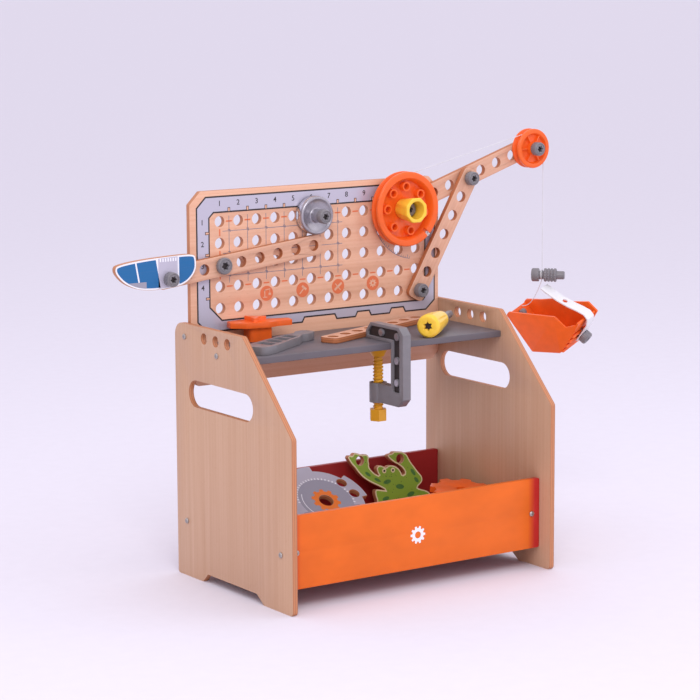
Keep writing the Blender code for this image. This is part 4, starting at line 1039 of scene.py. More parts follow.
ROLLER_R = 0.0225
ROLLER_HUB = 0.022
roller_x, roller_z = peg(6, 1)
roller_place = facing_front(roller_x, layer(0), roller_z)
roller = lathe(
    "roller_fine",
    [
        (bore_r, 0),
        (ROLLER_R - 0.0018, 0),
        (ROLLER_R - 0.0004, 0.0008),
        (ROLLER_R, 0.0022),
        (ROLLER_R, 0.0118),
        (ROLLER_R - 0.0004, 0.0132),
        (ROLLER_R - 0.0016, 0.0140),
        (ROLLER_R - 0.0030, 0.0140),
        (ROLLER_R - 0.0044, 0.0128),
        (0.0160, 0.0118),
        (0.0120, 0.0107),
        (0.0088, 0.0102),
        (0.0076, 0.0110),
        (0.0070, ROLLER_HUB - 0.0004),
        (0.0066, ROLLER_HUB),
        (bore_r, ROLLER_HUB),
    ],
    128,
    roller_place,
)
stand_for(roller, "silver", "roller", bevel=0.0002, sharp=50)
rim = lathe(
    "roller_rim_band",
    [
        (ROLLER_R - 0.00005, 0.0030),
        (ROLLER_R + 0.00008, 0.0032),
        (ROLLER_R + 0.00008, 0.0108),
        (ROLLER_R - 0.00005, 0.0110),
    ],
    128,
    roller_place,
)
belong(rim, "chrome", "roller", sharp=60)
fasten("roller", roller_x, roller_z, layer(0) + ROLLER_HUB, rear_of_board)

# ---- Hanger and bucket

toward = Vector((0.70, -0.714, 0.0)).normalized()
hanger_middle = Vector((DROP_X, -STRING_DEPTH, HANGER_HEIGHT)) + toward * 0.0075
head_base = hanger_middle - toward * (0.0205 - BOLT_HEAD_HEIGHT)
hanger_place = axes(head_base, (0, 0, 1), -toward)
bolt("hanger_bolt", hanger_place, 0.041 - BOLT_HEAD_HEIGHT - 0.008, end=0.0)
nut("hanger_nut", hanger_place @ moved(0, 0, -0.0062), 0.0155, bands=3)

across = Vector((0.908, 0.317, 0.272)).normalized()
bucket_at = Vector((0.3330, -0.0385, 0.2500))
bucket_place = axes(bucket_at, across.cross(Vector((0, 0, 1))).normalized(), -across)


def in_bucket(x, y, z=0.0):
    return bucket_place @ Vector((x, y, z))


NEAR_PLATE = [
    (-0.0422, 0.0175),
    (-0.0388, 0.0216),
    (0.0272, 0.0210),
    (0.0410, 0.0083),
    (0.0560, 0.0125),
    (0.0520, 0.0013),
    (0.0285, -0.0271),
    (-0.0121, -0.0291),
]
FAR_PLATE = [
    (-0.0422, 0.0175),
    (-0.0388, 0.0216),
    (-0.0168, 0.0229),
    (0.0028, 0.0257),
    (0.0281, 0.0238),
    (0.0517, 0.0258),
    (0.0632, 0.0145),
    (0.0508, -0.0022),
    (0.0285, -0.0271),
    (-0.0121, -0.0291),
]
SHELL = [
    (-0.0422, 0.0175),
    (-0.0330, 0.0030),
    (-0.0121, -0.0291),
    (0.0285, -0.0271),
    (0.0530, 0.0020),
    (0.0613, 0.0143),
]


def thickened(bent, thickness):
    """The outline of a bent wall: the line, and the same line moved to its left."""
    inner = []
    for i, point in enumerate(bent):
        here = Vector(point)
        back = (here - Vector(bent[max(i - 1, 0)])).normalized()
        on = (Vector(bent[min(i + 1, len(bent) - 1)]) - here).normalized()
        direction = (back + on).normalized()
        reach = thickness / max(direction.dot(on if on.length else back), 0.5)
        inner.append((here.x - direction.y * reach, here.y + direction.x * reach))
    return bent + inner[::-1]


half_bucket = 0.022
wall = 0.0026
shell_place = bucket_place @ moved(0, 0, -half_bucket)
bucket = slab("bucket_fine", thickened(SHELL, wall), 2 * half_bucket, shell_place)
near_line = rounded([(x * 1.012, y * 1.012) for x, y in NEAR_PLATE], 0.0018, 4)
far_line = rounded([(x * 1.012, y * 1.012) for x, y in FAR_PLATE], 0.0018, 4)
near_place = bucket_place @ moved(0, 0, half_bucket - wall + 0.0004)
far_place = bucket_place @ moved(0, 0, -half_bucket - 0.0004)
join(
    bucket,
    slab("bucket_near_plate", near_line, wall, near_place),
    slab("bucket_far_plate", far_line, wall, far_place),
)
for number, share in enumerate((0.12, 0.36, 0.60, 0.84)):
    x = 0.0285 + share * 0.0245
    y = -0.0271 + share * 0.0291
    ledge = rectangle(x - 0.0020, y - 0.0025, x + 0.0025, y + 0.0005)
    join(bucket, slab(f"bucket_ledge_{number}", ledge, 2 * half_bucket, shell_place))
back_normal = (bucket_place.to_3x3() @ Vector((0.765, -0.644, 0))).normalized()
across_axis = bucket_place.col[2].to_3d()
strap_bolt_at = in_bucket(0.0465, -0.0058) + back_normal * 0.0064
strap_bolt_place = axes(strap_bolt_at, across_axis, back_normal)
bolt("bucket_strap_bolt", strap_bolt_place, 0.0, head_height=0.0085)
cut(bucket, rod("bucket_bore", BOLT_R + 0.0003, -0.020, 0.001, strap_bolt_place))
lip_normal = (bucket_place.to_3x3() @ Vector((0.845, 0.535, 0))).normalized()
lip_place = axes(in_bucket(-0.0376, 0.0103) + lip_normal * (wall + GAP), across_axis, lip_normal)
cut(bucket, rod("lip_bore", 0.0024, -0.010, 0.004, lip_place))
stand_for(bucket, "orange", "bucket", bevel=0.0004)

STRAP = [
    (0.0045, 0.0515),
    (0.0130, 0.0455),
    (0.0260, 0.0372),
    (0.0400, 0.0305),
    (0.0520, 0.0262),
    (0.0620, 0.0215),
    (0.0665, 0.0150),
    (0.0640, 0.0060),
    (0.0563, -0.0036),
    (0.0511, -0.0097),
    (0.0456, -0.0162),
]
strap_half = 0.0078
strap_outline = thickened(STRAP[::-1], 0.0016)
strap = slab("bucket_strap_fine", strap_outline, 2 * strap_half, bucket_place @ moved(0, 0, -strap_half))
cut(strap, rod("strap_bore", BOLT_R + 0.0003, -0.020, 0.001, strap_bolt_place))
window_normal = (bucket_place.to_3x3() @ Vector((0.45, 0.89, 0))).normalized()
window_place = axes(in_bucket(0.0330, 0.0355), across_axis, window_normal)
cut(strap, rod("strap_window", 0.0034, -0.006, 0.006, window_place))
stand_for(strap, "white", "bucket_strap", bevel=0.0004, sharp=45)

lip_pin = lathe(
    "bucket_lip_pin_fine",
    [
        (0, -0.005),
        (0.0018, -0.005),
        (0.0021, -0.0044),
        (0.0021, 0.0),
        (0.0042, 0.0),
        (0.0042, 0.0050),
        (0.0037, 0.0060),
        (0.0028, 0.0065),
        (0, 0.0065),
    ],
    56,
    lip_place,
)
stand_for(lip_pin, "grey", "bucket_lip_pin", bevel=0.0002)

sling_start = hanger_middle - toward * 0.0075 - Vector((0, 0, BOLT_R + 0.0006))
sling_end = in_bucket(-0.0330, 0.0215)
sling = []
for i in range(25):
    point = sling_start.lerp(sling_end, i / 24)
    point.z -= 0.010 * math.sin(math.pi * i / 24)
    sling.append(point)
stand_for(cord_tube("bucket_string_fine", sling), "string", "bucket_string", bevel=0, sharp=80)

# The string's turn round the bare shank of the hanger.
loop_place = hanger_place @ moved(0, 0, -0.0031)
loop_path = []
for i in range(49):
    turn = 4 * math.pi * i / 48
    reach = BOLT_R + 0.0006
    at = (reach * math.cos(turn), reach * math.sin(turn), 0.0007 * (i / 24 - 1))
    loop_path.append(loop_place @ Vector(at))
belong(cord_tube("hanger_string_loop", loop_path), "string", "hanger_bolt", sharp=80)

# ---- Clamp on the front edge of the worktop

CLAMP_X = 0.0206
CLAMP_TOP = 0.2895
CLAMP_BOTTOM = 0.198
CLAMP_FRONT = 0.174
CLAMP_THICKNESS = 0.011
JAW_END = 0.1005
LOWER_JAW_TOP = 0.220
SCREW_DEPTH = 0.117
clamp_spine = WORKTOP_FRONT + 0.0008
jaw_bottom = WORKTOP_TOP + GAP
clamp_corners = [
    (JAW_END, jaw_bottom),
    (clamp_spine, jaw_bottom),
    (clamp_spine, LOWER_JAW_TOP),
    (SCREW_DEPTH, LOWER_JAW_TOP),
    (SCREW_DEPTH, CLAMP_BOTTOM),
    (CLAMP_FRONT - 0.009, CLAMP_BOTTOM),
    (CLAMP_FRONT, CLAMP_BOTTOM + 0.009),
    (CLAMP_FRONT, CLAMP_TOP - 0.008),
    (CLAMP_FRONT - 0.008, CLAMP_TOP),
    (JAW_END + 0.009, CLAMP_TOP),
    (JAW_END, CLAMP_TOP - 0.010),
]
clamp_place = axes((CLAMP_X + CLAMP_THICKNESS / 2, 0, 0), (0, -1, 0), (-1, 0, 0))
clamp = slab("clamp_frame_fine", clamp_corners, CLAMP_THICKNESS, clamp_place)
screw_place = moved(CLAMP_X, -SCREW_DEPTH, 0)
join(clamp, rod("clamp_boss", 0.0102, CLAMP_BOTTOM - 0.001, LOWER_JAW_TOP, screw_place))
FLANGE = 0.0035
RECESS = 0.0028
recess_outline = [
    (JAW_END + FLANGE, jaw_bottom + FLANGE),
    (clamp_spine + FLANGE, jaw_bottom + FLANGE),
    (clamp_spine + FLANGE, LOWER_JAW_TOP - 0.006),
    (CLAMP_FRONT - 2 * FLANGE, LOWER_JAW_TOP - 0.006),
    (CLAMP_FRONT - 2 * FLANGE, CLAMP_TOP - 0.008 - FLANGE / 2),
    (CLAMP_FRONT - 0.008 - FLANGE, CLAMP_TOP - FLANGE),
    (JAW_END + 0.010, CLAMP_TOP - FLANGE),
    (JAW_END + FLANGE, CLAMP_TOP - 0.011),
]
BOSSES = ((0.1301, 0.2800), (0.1610, 0.2785), (0.1608, 0.2508), (0.1607, 0.2254))
for side, start in (("left", CLAMP_THICKNESS - RECESS), ("right", -0.001)):
    rings = [circle(x, y, 0.0044, 28) for x, y in BOSSES]
    pocket_place = clamp_place @ moved(0, 0, start)
    outline = rounded(recess_outline, 0.0012, 3)
    cut(clamp, slab(f"clamp_{side}_recess", outline, RECESS + 0.001, pocket_place, rings))
cut(clamp, rod("clamp_bore", 0.0067, 0.18, LOWER_JAW_TOP + 0.01, screw_place))
stand_for(clamp, "grey", "clamp_frame", bevel=0.0004)
for side, z in (("left", CLAMP_THICKNESS - RECESS + 0.00005), ("right", RECESS - 0.00015)):
    rings = [circle(x, y, 0.0044, 28) for x, y in BOSSES]
    # A near-black sheet on the recess floor, round the bosses: painted shade in the recess.
    floor = slab(f"clamp_{side}_recess_painted_shade", rounded(recess_outline, 0.0012, 3), 0.0001,
                 clamp_place @ moved(0, 0, z), rings)  # fmt: skip
    belong(floor, "dark", "clamp_frame")
    height = CLAMP_THICKNESS - 0.0001 if side == "left" else -0.0001
    for number, (x, y) in enumerate(BOSSES):
        button = slab(f"clamp_{side}_boss_cap_{number}", circle(x, y, 0.0036, 28), 0.0002,
                      clamp_place @ moved(0, 0, height))  # fmt: skip
        belong(button, "silver", "clamp_frame")

SCREW_TOP = 0.2505
HEX_BOTTOM = 0.1752
HEX_TOP = 0.1887
THREAD_R = 0.0062
THREAD_PITCH = 0.004


def threaded(name, radius, depth, pitch, z0, z1, place, sides=48):
    """A right-handed screw thread round local z, closed at both ends."""
    rings = round((z1 - z0) / (pitch / 12))
    points = [(0, 0, z0)]
    for i in range(rings + 1):
        z = z0 + (z1 - z0) * i / rings
        fade = min(1.0, (z - z0) / pitch, (z1 - z) / pitch)
        for s in range(sides):
            turn = 2 * math.pi * s / sides
            phase = (z / pitch - turn / (2 * math.pi)) % 1.0
            crest = max(0.0, 1 - abs(phase - 0.5) * 2.9)
            reach = radius - depth + depth * min(1.0, crest * 1.25) * fade
            points.append((reach * math.cos(turn), reach * math.sin(turn), z))
    points.append((0, 0, z1))
    faces = []
    for i in range(rings):
        a, b = 1 + i * sides, 1 + (i + 1) * sides
        faces += [(a + s, a + (s + 1) % sides, b + (s + 1) % sides, b + s) for s in range(sides)]
    last = len(points) - 1
    for s in range(sides):
        t = (s + 1) % sides
        faces += [(0, 1 + t, 1 + s), (last, last - sides + s, last - sides + t)]
    return solid(name, points, faces, place)


clamp_screw = threaded(
    "clamp_screw_fine", THREAD_R, 0.0013, THREAD_PITCH, HEX_TOP - 0.002, SCREW_TOP - 0.0012, screw_place
)
join(
    clamp_screw,
    rod("clamp_pin", 0.0035, SCREW_TOP - 0.003, SCREW_TOP + 0.006, screw_place),
    rod("clamp_hex", 0.0104, HEX_BOTTOM, HEX_TOP, screw_place, 6),
)
cut(clamp_screw, rod("clamp_hex_hollow", 0.0060, HEX_BOTTOM - 0.001, HEX_BOTTOM + 0.004, screw_place))
stand_for(clamp_screw, "amber", "clamp_screw", bevel=0.0003, sharp=40)
PAD_TOP = WORKTOP_TOP - WORKTOP_THICKNESS - GAP
pad = lathe(
    "clamp_pad_fine",
    [
        (0, PAD_TOP),
        (0.0108, PAD_TOP),
        (0.0113, PAD_TOP - 0.0005),
        (0.0113, PAD_TOP - 0.0035),
        (0.0105, PAD_TOP - 0.0048),
        (0.0072, SCREW_TOP),
        (0.0038, SCREW_TOP),
        (0.0038, SCREW_TOP + 0.0065),
        (0, SCREW_TOP + 0.0065),
    ],
    80,
    screw_place,
)
stand_for(pad, "amber", "clamp_pad", bevel=0.0002)

# ---- Tools on the worktop

ON_TOP = WORKTOP_TOP + GAP
loose_place = axes((-0.0336, -0.1050, ON_TOP), (0.929, 0.370, 0), (0, 0, 1))
strip("loose_strip", 8, loose_place)

DRIVER_R = 0.0138
HANDLE = 0.062
driver_place = axes((0.0690, -0.1480, ON_TOP + DRIVER_R), (0, 0, 1), (-0.777, -0.630, 0))


def grips(turn, radius, z):
    """Six long flutes along the handle, which fade out towards its ends."""
    if not -HANDLE + 0.006 < z < -0.003 or radius < 0.008:
        return 1
    fade = min(1.0, (z + HANDLE - 0.006) / 0.008, (-0.003 - z) / 0.006)
    return 1 - 0.06 * fade * max(0.0, math.cos(6 * turn)) ** 2


handle_profile = [(0, -HANDLE), (0.0074, -HANDLE), (0.0086, -HANDLE + 0.0010), (0.0098, -HANDLE + 0.004)]
for i in range(24):
    share = i / 23
    z = -HANDLE + 0.006 + share * (HANDLE - 0.010)
    reach = 0.0102 + (DRIVER_R - 0.0102) * math.sin(share * math.pi / 2) ** 1.2
    handle_profile.append((reach, z))
handle_profile += [(DRIVER_R - 0.0006, -0.0022), (DRIVER_R - 0.0018, -0.0008), (DRIVER_R - 0.0030, 0), (0, 0)]
handle = lathe("screwdriver_handle_fine", handle_profile, 96, driver_place, grips)
star_place = driver_place @ moved(0, 0, -0.005)
handle_star = rounded(star(0.0062, 0.0036), 0.0006, 3)
cut(handle, slab("handle_star", handle_star, 0.006, star_place))
stand_for(handle, "yellow", "screwdriver_handle", bevel=0.0003, sharp=40)
# A near-black sheet on the floor of the star in the handle's end: painted shade in the recess.
belong(slab("handle_star_painted_shade", handle_star, 0.0001, star_place), "dark", "screwdriver_handle")
shaft = lathe(
    "screwdriver_shaft_fine",
    [
        (0, -0.106),
        (0.0028, -0.106),
        (0.0034, -0.1052),
        (0.0045, -0.102),
        (0.0045, -0.074),
        (0.0068, -0.0725),
        (0.0072, -0.0715),
        (0.0072, -HANDLE - GAP),
        (0, -HANDLE - GAP),
    ],
    96,
    driver_place,
    lambda turn, radius, z: 1 - 0.12 * max(0.0, math.cos(6 * turn)) if z < -0.08 and radius > 0.003 else 1,
)
stand_for(shaft, "grey", "screwdriver_shaft", bevel=0.0002)

spanner_place = axes((-0.1500, -0.1270, ON_TOP), (0.872, 0.489, 0), (0, 0, 1))
SPANNER = [
    (-0.0070, -0.0135),
    (0.0150, -0.0165),
    (0.0800, -0.0120),
    (0.0960, -0.0060),
    (0.1040, -0.0105),
    (0.1230, -0.0100),
    (0.1260, 0.0070),
    (0.1120, 0.0110),
    (0.1000, 0.0065),
    (0.0820, 0.0120),
    (0.0150, 0.0150),
    (-0.0070, 0.0125),
]
spanner_radii = [0.008, 0.012, 0.012, 0.006, 0.004, 0.007, 0.007, 0.004, 0.006, 0.012, 0.012, 0.008]
spanner = slab("spanner_fine", rounded(SPANNER, spanner_radii, 8), 0.009, spanner_place)
for number in range(4):
    x = 0.012 + 0.0185 * number
    wide = 0.0108 - 0.0007 * number
    pocket = [(x, -wide), (x + 0.0145, -wide + 0.0004), (x + 0.0175, wide - 0.0004), (x + 0.0030, wide)]
    soft = rounded(pocket, 0.0015, 4)
    cut(spanner, slab(f"spanner_pocket_{number}", soft, 0.01, spanner_place @ moved(0, 0, 0.003)))
    # A near-black sheet on each pocket floor: painted shade in the pocket.
    floor = slab(f"spanner_pocket_painted_shade_{number}", soft, 0.0001, spanner_place @ moved(0, 0, 0.00302))
    belong(floor, "dark", "spanner")
stand_for(spanner, "grey", "spanner", bevel=0.0006, steps=3)

connector_place = axes((-0.0960, -0.0440, ON_TOP), (0.985, -0.174, 0), (0, 0, 1))
foot_outline = rounded(rectangle(-0.0150, -0.0120, 0.0130, 0.0120), 0.004, 8)
connector = slab("connector_block_fine", foot_outline, 0.0175, connector_place)
WING = [
    (-0.0370, -0.0060),
    (-0.0200, -0.0160),
    (0.0080, -0.0170),
    (0.0200, -0.0110),
    (0.0390, -0.0095),
    (0.0400, 0.0065),
    (0.0190, 0.0090),
    (0.0060, 0.0150),
    (-0.0180, 0.0150),
    (-0.0360, 0.0080),
]
ridge_outline = rounded(star(0.0185, 0.0060, 3), 0.002, 5)
join(
    connector,
    slab("connector_wing", rounded(WING, 0.003, 5), 0.0062, connector_place @ moved(0, 0, 0.0165)),
    slab("connector_ridge", ridge_outline, 0.0055, connector_place @ moved(-0.004, 0, 0.0220)),
)
stand_for(connector, "orange", "connector_block", bevel=0.0006, steps=3)

# ---- Things in the box

FROG_LEAN = math.radians(8)
FROG = [
    (0.0290, 0.1155), (0.0320, 0.1185), (0.0360, 0.1165), (0.0390, 0.1205),
    (0.0440, 0.1190), (0.0490, 0.1165), (0.0560, 0.1170), (0.0600, 0.1130),
    (0.0585, 0.1085), (0.0595, 0.1045), (0.0585, 0.1010), (0.0620, 0.0960),
    (0.0670, 0.0915), (0.0725, 0.0885), (0.0700, 0.0930), (0.0690, 0.0985),
    (0.0735, 0.1015), (0.0790, 0.0995), (0.0830, 0.0970), (0.0870, 0.0995),
    (0.0935, 0.0990), (0.1000, 0.0955), (0.1040, 0.0905), (0.1060, 0.0850),
    (0.1110, 0.0868), (0.1080, 0.0930), (0.1023, 0.0980), (0.0943, 0.1025),
    (0.0900, 0.1065), (0.0855, 0.1110), (0.0890, 0.1130), (0.0935, 0.1130),
    (0.0965, 0.1155), (0.1020, 0.1145), (0.1090, 0.1135), (0.1155, 0.1090),
    (0.1180, 0.1030), (0.1208, 0.0985), (0.1256, 0.0922), (0.1300, 0.0860),
    (0.1345, 0.0810), (0.1355, 0.0765), (0.1335, 0.0725), (0.1262, 0.0680),
    (0.1300, 0.0655), (0.1400, 0.0625), (0.1455, 0.0580), (0.1470, 0.0500),
    (0.1430, 0.0400), (0.1490, 0.0304), (0.1270, 0.0304), (0.1240, 0.0400),
    (0.1170, 0.0460), (0.1060, 0.0430), (0.0970, 0.0450), (0.0900, 0.0480),
    (0.0840, 0.0420), (0.0840, 0.0304), (0.0600, 0.0304), (0.0650, 0.0380),
    (0.0630, 0.0480), (0.0670, 0.0570), (0.0640, 0.0670), (0.0650, 0.0735),
    (0.0735, 0.0715), (0.0805, 0.0700), (0.0715, 0.0757), (0.0600, 0.0815),
    (0.0494, 0.0885), (0.0425, 0.0962), (0.0385, 0.1022), (0.0333, 0.1080),
    (0.0308, 0.1125),
]  # fmt: skip
FROG_HOLES = ((0.0463, 0.1098), (0.1045, 0.1054))
frog_outline = [(x, z - BOX_STANDS) for x, z in smooth(FROG, 2)]
frog_holes = [circle(x, z - BOX_STANDS, 0.0056, 32) for x, z in FROG_HOLES]
frog_place = axes(
    (0, -0.0470, BOX_STANDS), (1, 0, 0), (0, -math.cos(FROG_LEAN), math.sin(FROG_LEAN))
)
frog_place = frog_place @ moved(0, 0.0011)
frog = slab("frog_fine", frog_outline, PLY, frog_place, frog_holes)
stand_for(frog, "panel", "frog", bevel=0.0003)

PLATE_X = -0.0299
PLATE_FOOT = 0.1481
PLATE_TILT = math.radians(33)
PLATE_MIDDLE = 0.0816
PLATE_R = 0.0493
PLATE_STEP = 0.0077
plate_place = axes(
    (PLATE_X, -PLATE_FOOT, BOX_STANDS),
    (1, 0, 0),
    (0, -math.sin(PLATE_TILT), math.cos(PLATE_TILT)),
)


def plate_arc(radius, start, end, steps):
    """Points round the middle of the plate, from one angle to another in degrees."""
    turns = [math.radians(start + (end - start) * i / steps) for i in range(steps + 1)]
    return [(radius * math.cos(t), PLATE_MIDDLE + radius * math.sin(t)) for t in turns]


def plate_rim(inset=0.0, steps=24):
    line_of = plate_arc(PLATE_R - inset, -19, -3, steps)
    for start in (-2, 82, 166):
        end = start + 40
        line_of += plate_arc(PLATE_R + PLATE_STEP - inset, start, min(end, 188), steps)
        if start < 166:
            line_of += plate_arc(PLATE_R - inset, end + 1, start + 83, steps)
    return line_of


STEM = 0.0430
plate_outline = [(STEM, 0.0), (STEM, PLATE_MIDDLE - 0.02), *plate_rim()]
plate_outline += [(-STEM, PLATE_MIDDLE - 0.02), (-STEM, 0.0)]
plate_bore = circle(0.0, PLATE_MIDDLE, 0.0088, 48)
rim_holes = []
for turn in map(math.radians, (6, 34)):
    rim_holes.append(circle(0.0425 * math.cos(turn), PLATE_MIDDLE + 0.0425 * math.sin(turn), HOLE_R))
plate = slab("round_plate_fine", plate_outline, PLY, plate_place, [plate_bore, *rim_holes])
stand_for(plate, "panel", "round_plate", bevel=0.0003)

gear_place = axes((0.1290, -0.1330, 0.0760), (1, 0, 0), (0, -math.sin(math.radians(8)), 1))
gear_teeth = rounded(toothed(0.0315, 0.0375, 8), 0.0010, 3)
gear = slab("box_gear_fine", gear_teeth, 0.0070, gear_place, [circle(0, 0, HOLE_R)])
hub_at = moved(0.1290, -0.1330, BOX_STANDS)
hub_height = 0.0760 - BOX_STANDS + 0.0025
join(gear, slab("gear_hub", circle(0, 0, 0.0125), hub_height, hub_at, [circle(0, 0, HOLE_R)]))
stand_for(gear, "orange", "box_gear", bevel=0.0005, steps=3)

# ---- Prints on the pegboard

board_face = facing_front(0, BOARD_FRONT, 0)


def framed(x0, y0, x1, y1, cut_off):
    """A rectangle with its corners cut off by the lengths given, from the lower left round."""
    a, b, c, d = cut_off
    return [
        (x0, y0 + a), (x0 + a, y0), (x1 - b, y0), (x1, y0 + b),
        (x1, y1 - c), (x1 - c, y1), (x0 + d, y1), (x0, y1 - d),
    ]  # fmt: skip


def grown(points, by):
    """The outline moved outwards by a width, or inwards if it is below 0."""
    count = len(points)
    area = sum(a[0] * b[1] - b[0] * a[1] for a, b in zip(points, points[1:] + points[:1]))
    turn = 1 if area > 0 else -1
    moved_out = []
    for i, point in enumerate(points):
        here = Vector(point)
        back = (here - Vector(points[i - 1])).normalized()
        on = (Vector(points[(i + 1) % count]) - here).normalized()
        side = Vector((back.y + on.y, -back.x - on.x)) * turn
        side = side.normalized()
        edge = Vector((on.y, -on.x)) * turn
        moved_out.append(tuple(here + side * (by / max(0.4, side.dot(edge)))))
    return moved_out


band_out = [
    (-0.1651, 0.2945), (-0.1531, 0.2825), (-0.0230, 0.2825), (-0.0200, 0.2883), (0.0230, 0.2883),
    (0.0260, 0.2825), (0.0525, 0.2825), (0.0555, 0.2883), (0.0725, 0.2883), (0.0755, 0.2825),
    (0.1020, 0.2825), (0.1050, 0.2883), (0.1226, 0.2883), (0.1256, 0.2825), (0.1560, 0.2825),
    (0.1686, 0.2935), (0.1686, 0.4248), (0.1566, 0.4368), (-0.1531, 0.4368), (-0.1651, 0.4248),
]  # fmt: skip
band_in = framed(-0.1490, 0.2943, 0.1546, 0.4190, (0.016, 0.003, 0.003, 0.006))
OUTLINE = 0.0009

prints("board_frame_line", [grown(band_out, OUTLINE)], "ink_black", "pegboard", board_face, 1,
       [grown(band_in, -OUTLINE)])  # fmt: skip
prints("board_frame_band", [grown(band_out, -OUTLINE)], "ink_silver", "pegboard", board_face, 2,
       [grown(band_in, OUTLINE)])  # fmt: skip

notches = []
for c in range(1, COLUMNS + 1):
    x = peg(c, 1)[0] + PITCH / 2
    if x < 0.150:
        notches.append(rectangle(x - 0.0013, 0.4192, x + 0.0013, 0.4236))
for r in range(1, ROWS):
    z = peg(1, r)[1] - PITCH / 2
    notches.append(rectangle(-0.1538, z - 0.0013, -0.1492, z + 0.0013))
prints("board_frame_notch_lines", [grown(n, 0.0004) for n in notches], "ink_black", "pegboard", board_face, 3)
prints("board_frame_notches", [grown(n, -0.0003) for n in notches], "board", "pegboard", board_face, 4)


def numeral(name, words, x, y, height, finish, node, place, coats):
    """A number in the plain built-in face, made a mesh that lies on a printed surface."""
    curve = bpy.data.curves.new(name, "FONT")
    curve.body = words
    curve.size = height / 0.72
    curve.align_x = "CENTER"
    curve.align_y = "CENTER"
    curve.extrude = INK / 2
    curve.offset = height * 0.012
    text = bpy.data.objects.new(name + "_text", curve)
    bpy.context.scene.collection.objects.link(text)
    bpy.context.view_layer.update()
    graph = bpy.context.evaluated_depsgraph_get()
    mesh = bpy.data.meshes.new_from_object(text.evaluated_get(graph))
    bpy.data.objects.remove(text, do_unlink=True)
    made = bpy.data.objects.new(name, mesh)
    bpy.context.scene.collection.objects.link(made)
    made.matrix_world = BENCH @ place @ moved(x, y, INK * (coats - 0.1))
    return belong(made, finish, node)


for c in range(1, COLUMNS + 1):
    numeral(f"number_top_{c}", str(c), peg(c, 1)[0], 0.4288, 0.0062, "ink_black", "pegboard", board_face, 3)
for r in range(1, ROWS):
    numeral(f"number_left_{r}", str(r), -0.1580, peg(1, r)[1], 0.0062, "ink_black", "pegboard", board_face, 3)

dashes = []
for row in (1, 4):
    for c in range(1, COLUMNS):
        x, z = peg(c, row)
        dashes.append(rectangle(x + 0.0085, z - 0.0008, x + PITCH - 0.0085, z + 0.0008))
for r in range(1, 4):
    x, z = peg(1, r)
    dashes.append(rectangle(x - 0.0008, z - PITCH + 0.0085, x + 0.0008, z - 0.0085))
prints("board_dashes", dashes, "ink_orange", "pegboard", board_face)

grid = []
grid_left = FIRST_COLUMN - 0.010
grid_top = peg(1, 1)[1] + 0.006
for i in range(7):
    x = peg(1, 1)[0] + PITCH * (i + 0.5)
    grid.append(rectangle(x - 0.00025, peg(1, 4)[1] + 0.004, x + 0.00025, grid_top))
for share in (1.45, 2.47, 3.5):
    z = peg(1, 1)[1] - PITCH * (share - 1)
    grid.append(rectangle(grid_left + 0.014, z - 0.00025, peg(8, 1)[0] - 0.006, z + 0.00025))
for i in range(7):
    x = peg(1, 1)[0] + PITCH * (i + 0.5)
    for share in (1.45, 2.47, 3.5):
        z = peg(1, 1)[1] - PITCH * (share - 1)
        grid.append(rectangle(x - 0.0016, z + 0.0012, x + 0.0016, z + 0.0017))
        grid.append(rectangle(x + 0.0012, z - 0.0016, x + 0.0017, z + 0.0016))
prints("board_grid", grid, "ink_blue", "pegboard", board_face)


def arc_band(cx, cy, radius, width, start, end, steps=60):
    outer, inner = [], []
    for i in range(steps + 1):
        t = math.radians(start + (end - start) * i / steps)
        outer.append((cx + (radius + width / 2) * math.cos(t), cy + (radius + width / 2) * math.sin(t)))
        inner.append((cx + (radius - width / 2) * math.cos(t), cy + (radius - width / 2) * math.sin(t)))
    return outer + inner[::-1]


sweep_x, sweep_z = peg(12, 1)
sweep_r = 2.5 * PITCH
sweep = [arc_band(sweep_x, sweep_z, sweep_r, 0.0005, 184, 262)]
for i in range(27):
    degrees = 184 + 3 * i
    t = math.radians(degrees)
    tick = 0.0042 if i % 5 == 0 else 0.0022
    x0, z0 = sweep_x + sweep_r * math.cos(t), sweep_z + sweep_r * math.sin(t)
    x1, z1 = sweep_x + (sweep_r - tick) * math.cos(t), sweep_z + (sweep_r - tick) * math.sin(t)
    sweep.append(line(x0, z0, x1, z1, 0.0004))
prints("board_sweep", sweep, "ink_blue", "pegboard", board_face)

icon_z = (peg(1, 4)[1] + peg(1, 5)[1]) / 2
BADGE_R = 0.0088
badge_at = [(peg(c, 4)[0] + PITCH / 2, icon_z) for c in (3, 5, 7, 9)]
prints("board_badges", [circle(x, z, BADGE_R, 56) for x, z in badge_at], "ink_orange", "pegboard",
       board_face)  # fmt: skip
crane_sign = [
    rectangle(-0.0052, -0.0050, 0.0008, -0.0040),
    rectangle(-0.0032, -0.0042, -0.0020, 0.0040),
    line(-0.0034, 0.0036, 0.0050, 0.0050, 0.0010),
    rectangle(0.0040, -0.0002, 0.0046, 0.0048),
    rectangle(0.0026, -0.0022, 0.0060, 0.0002),
]
hammer_sign = [line(-0.0042, -0.0046, 0.0022, 0.0024, 0.0013), line(-0.0010, 0.0046, 0.0050, 0.0000, 0.0026)]
ruler_sign = [line(-0.0050, -0.0040, 0.0050, 0.0040, 0.0026), line(-0.0040, 0.0036, 0.0034, -0.0044, 0.0011)]
wheel_sign = [toothed(0.0036, 0.0050, 8), circle(0, 0, 0.0014, 24)]
for number, ((x, z), sign) in enumerate(zip(badge_at, (crane_sign, hammer_sign, ruler_sign, wheel_sign))):
    shapes = [[(px + x, pz + z) for px, pz in shape] for shape in sign]
    finish = "board"
    if sign is wheel_sign:
        prints(f"badge_sign_{number}", shapes[:1], finish, "pegboard", board_face, 2, shapes[1:])
    else:
        prints(f"badge_sign_{number}", shapes, finish, "pegboard", board_face, 2)

# ---- Prints on the box front, the shuttle, the frog and the round plate

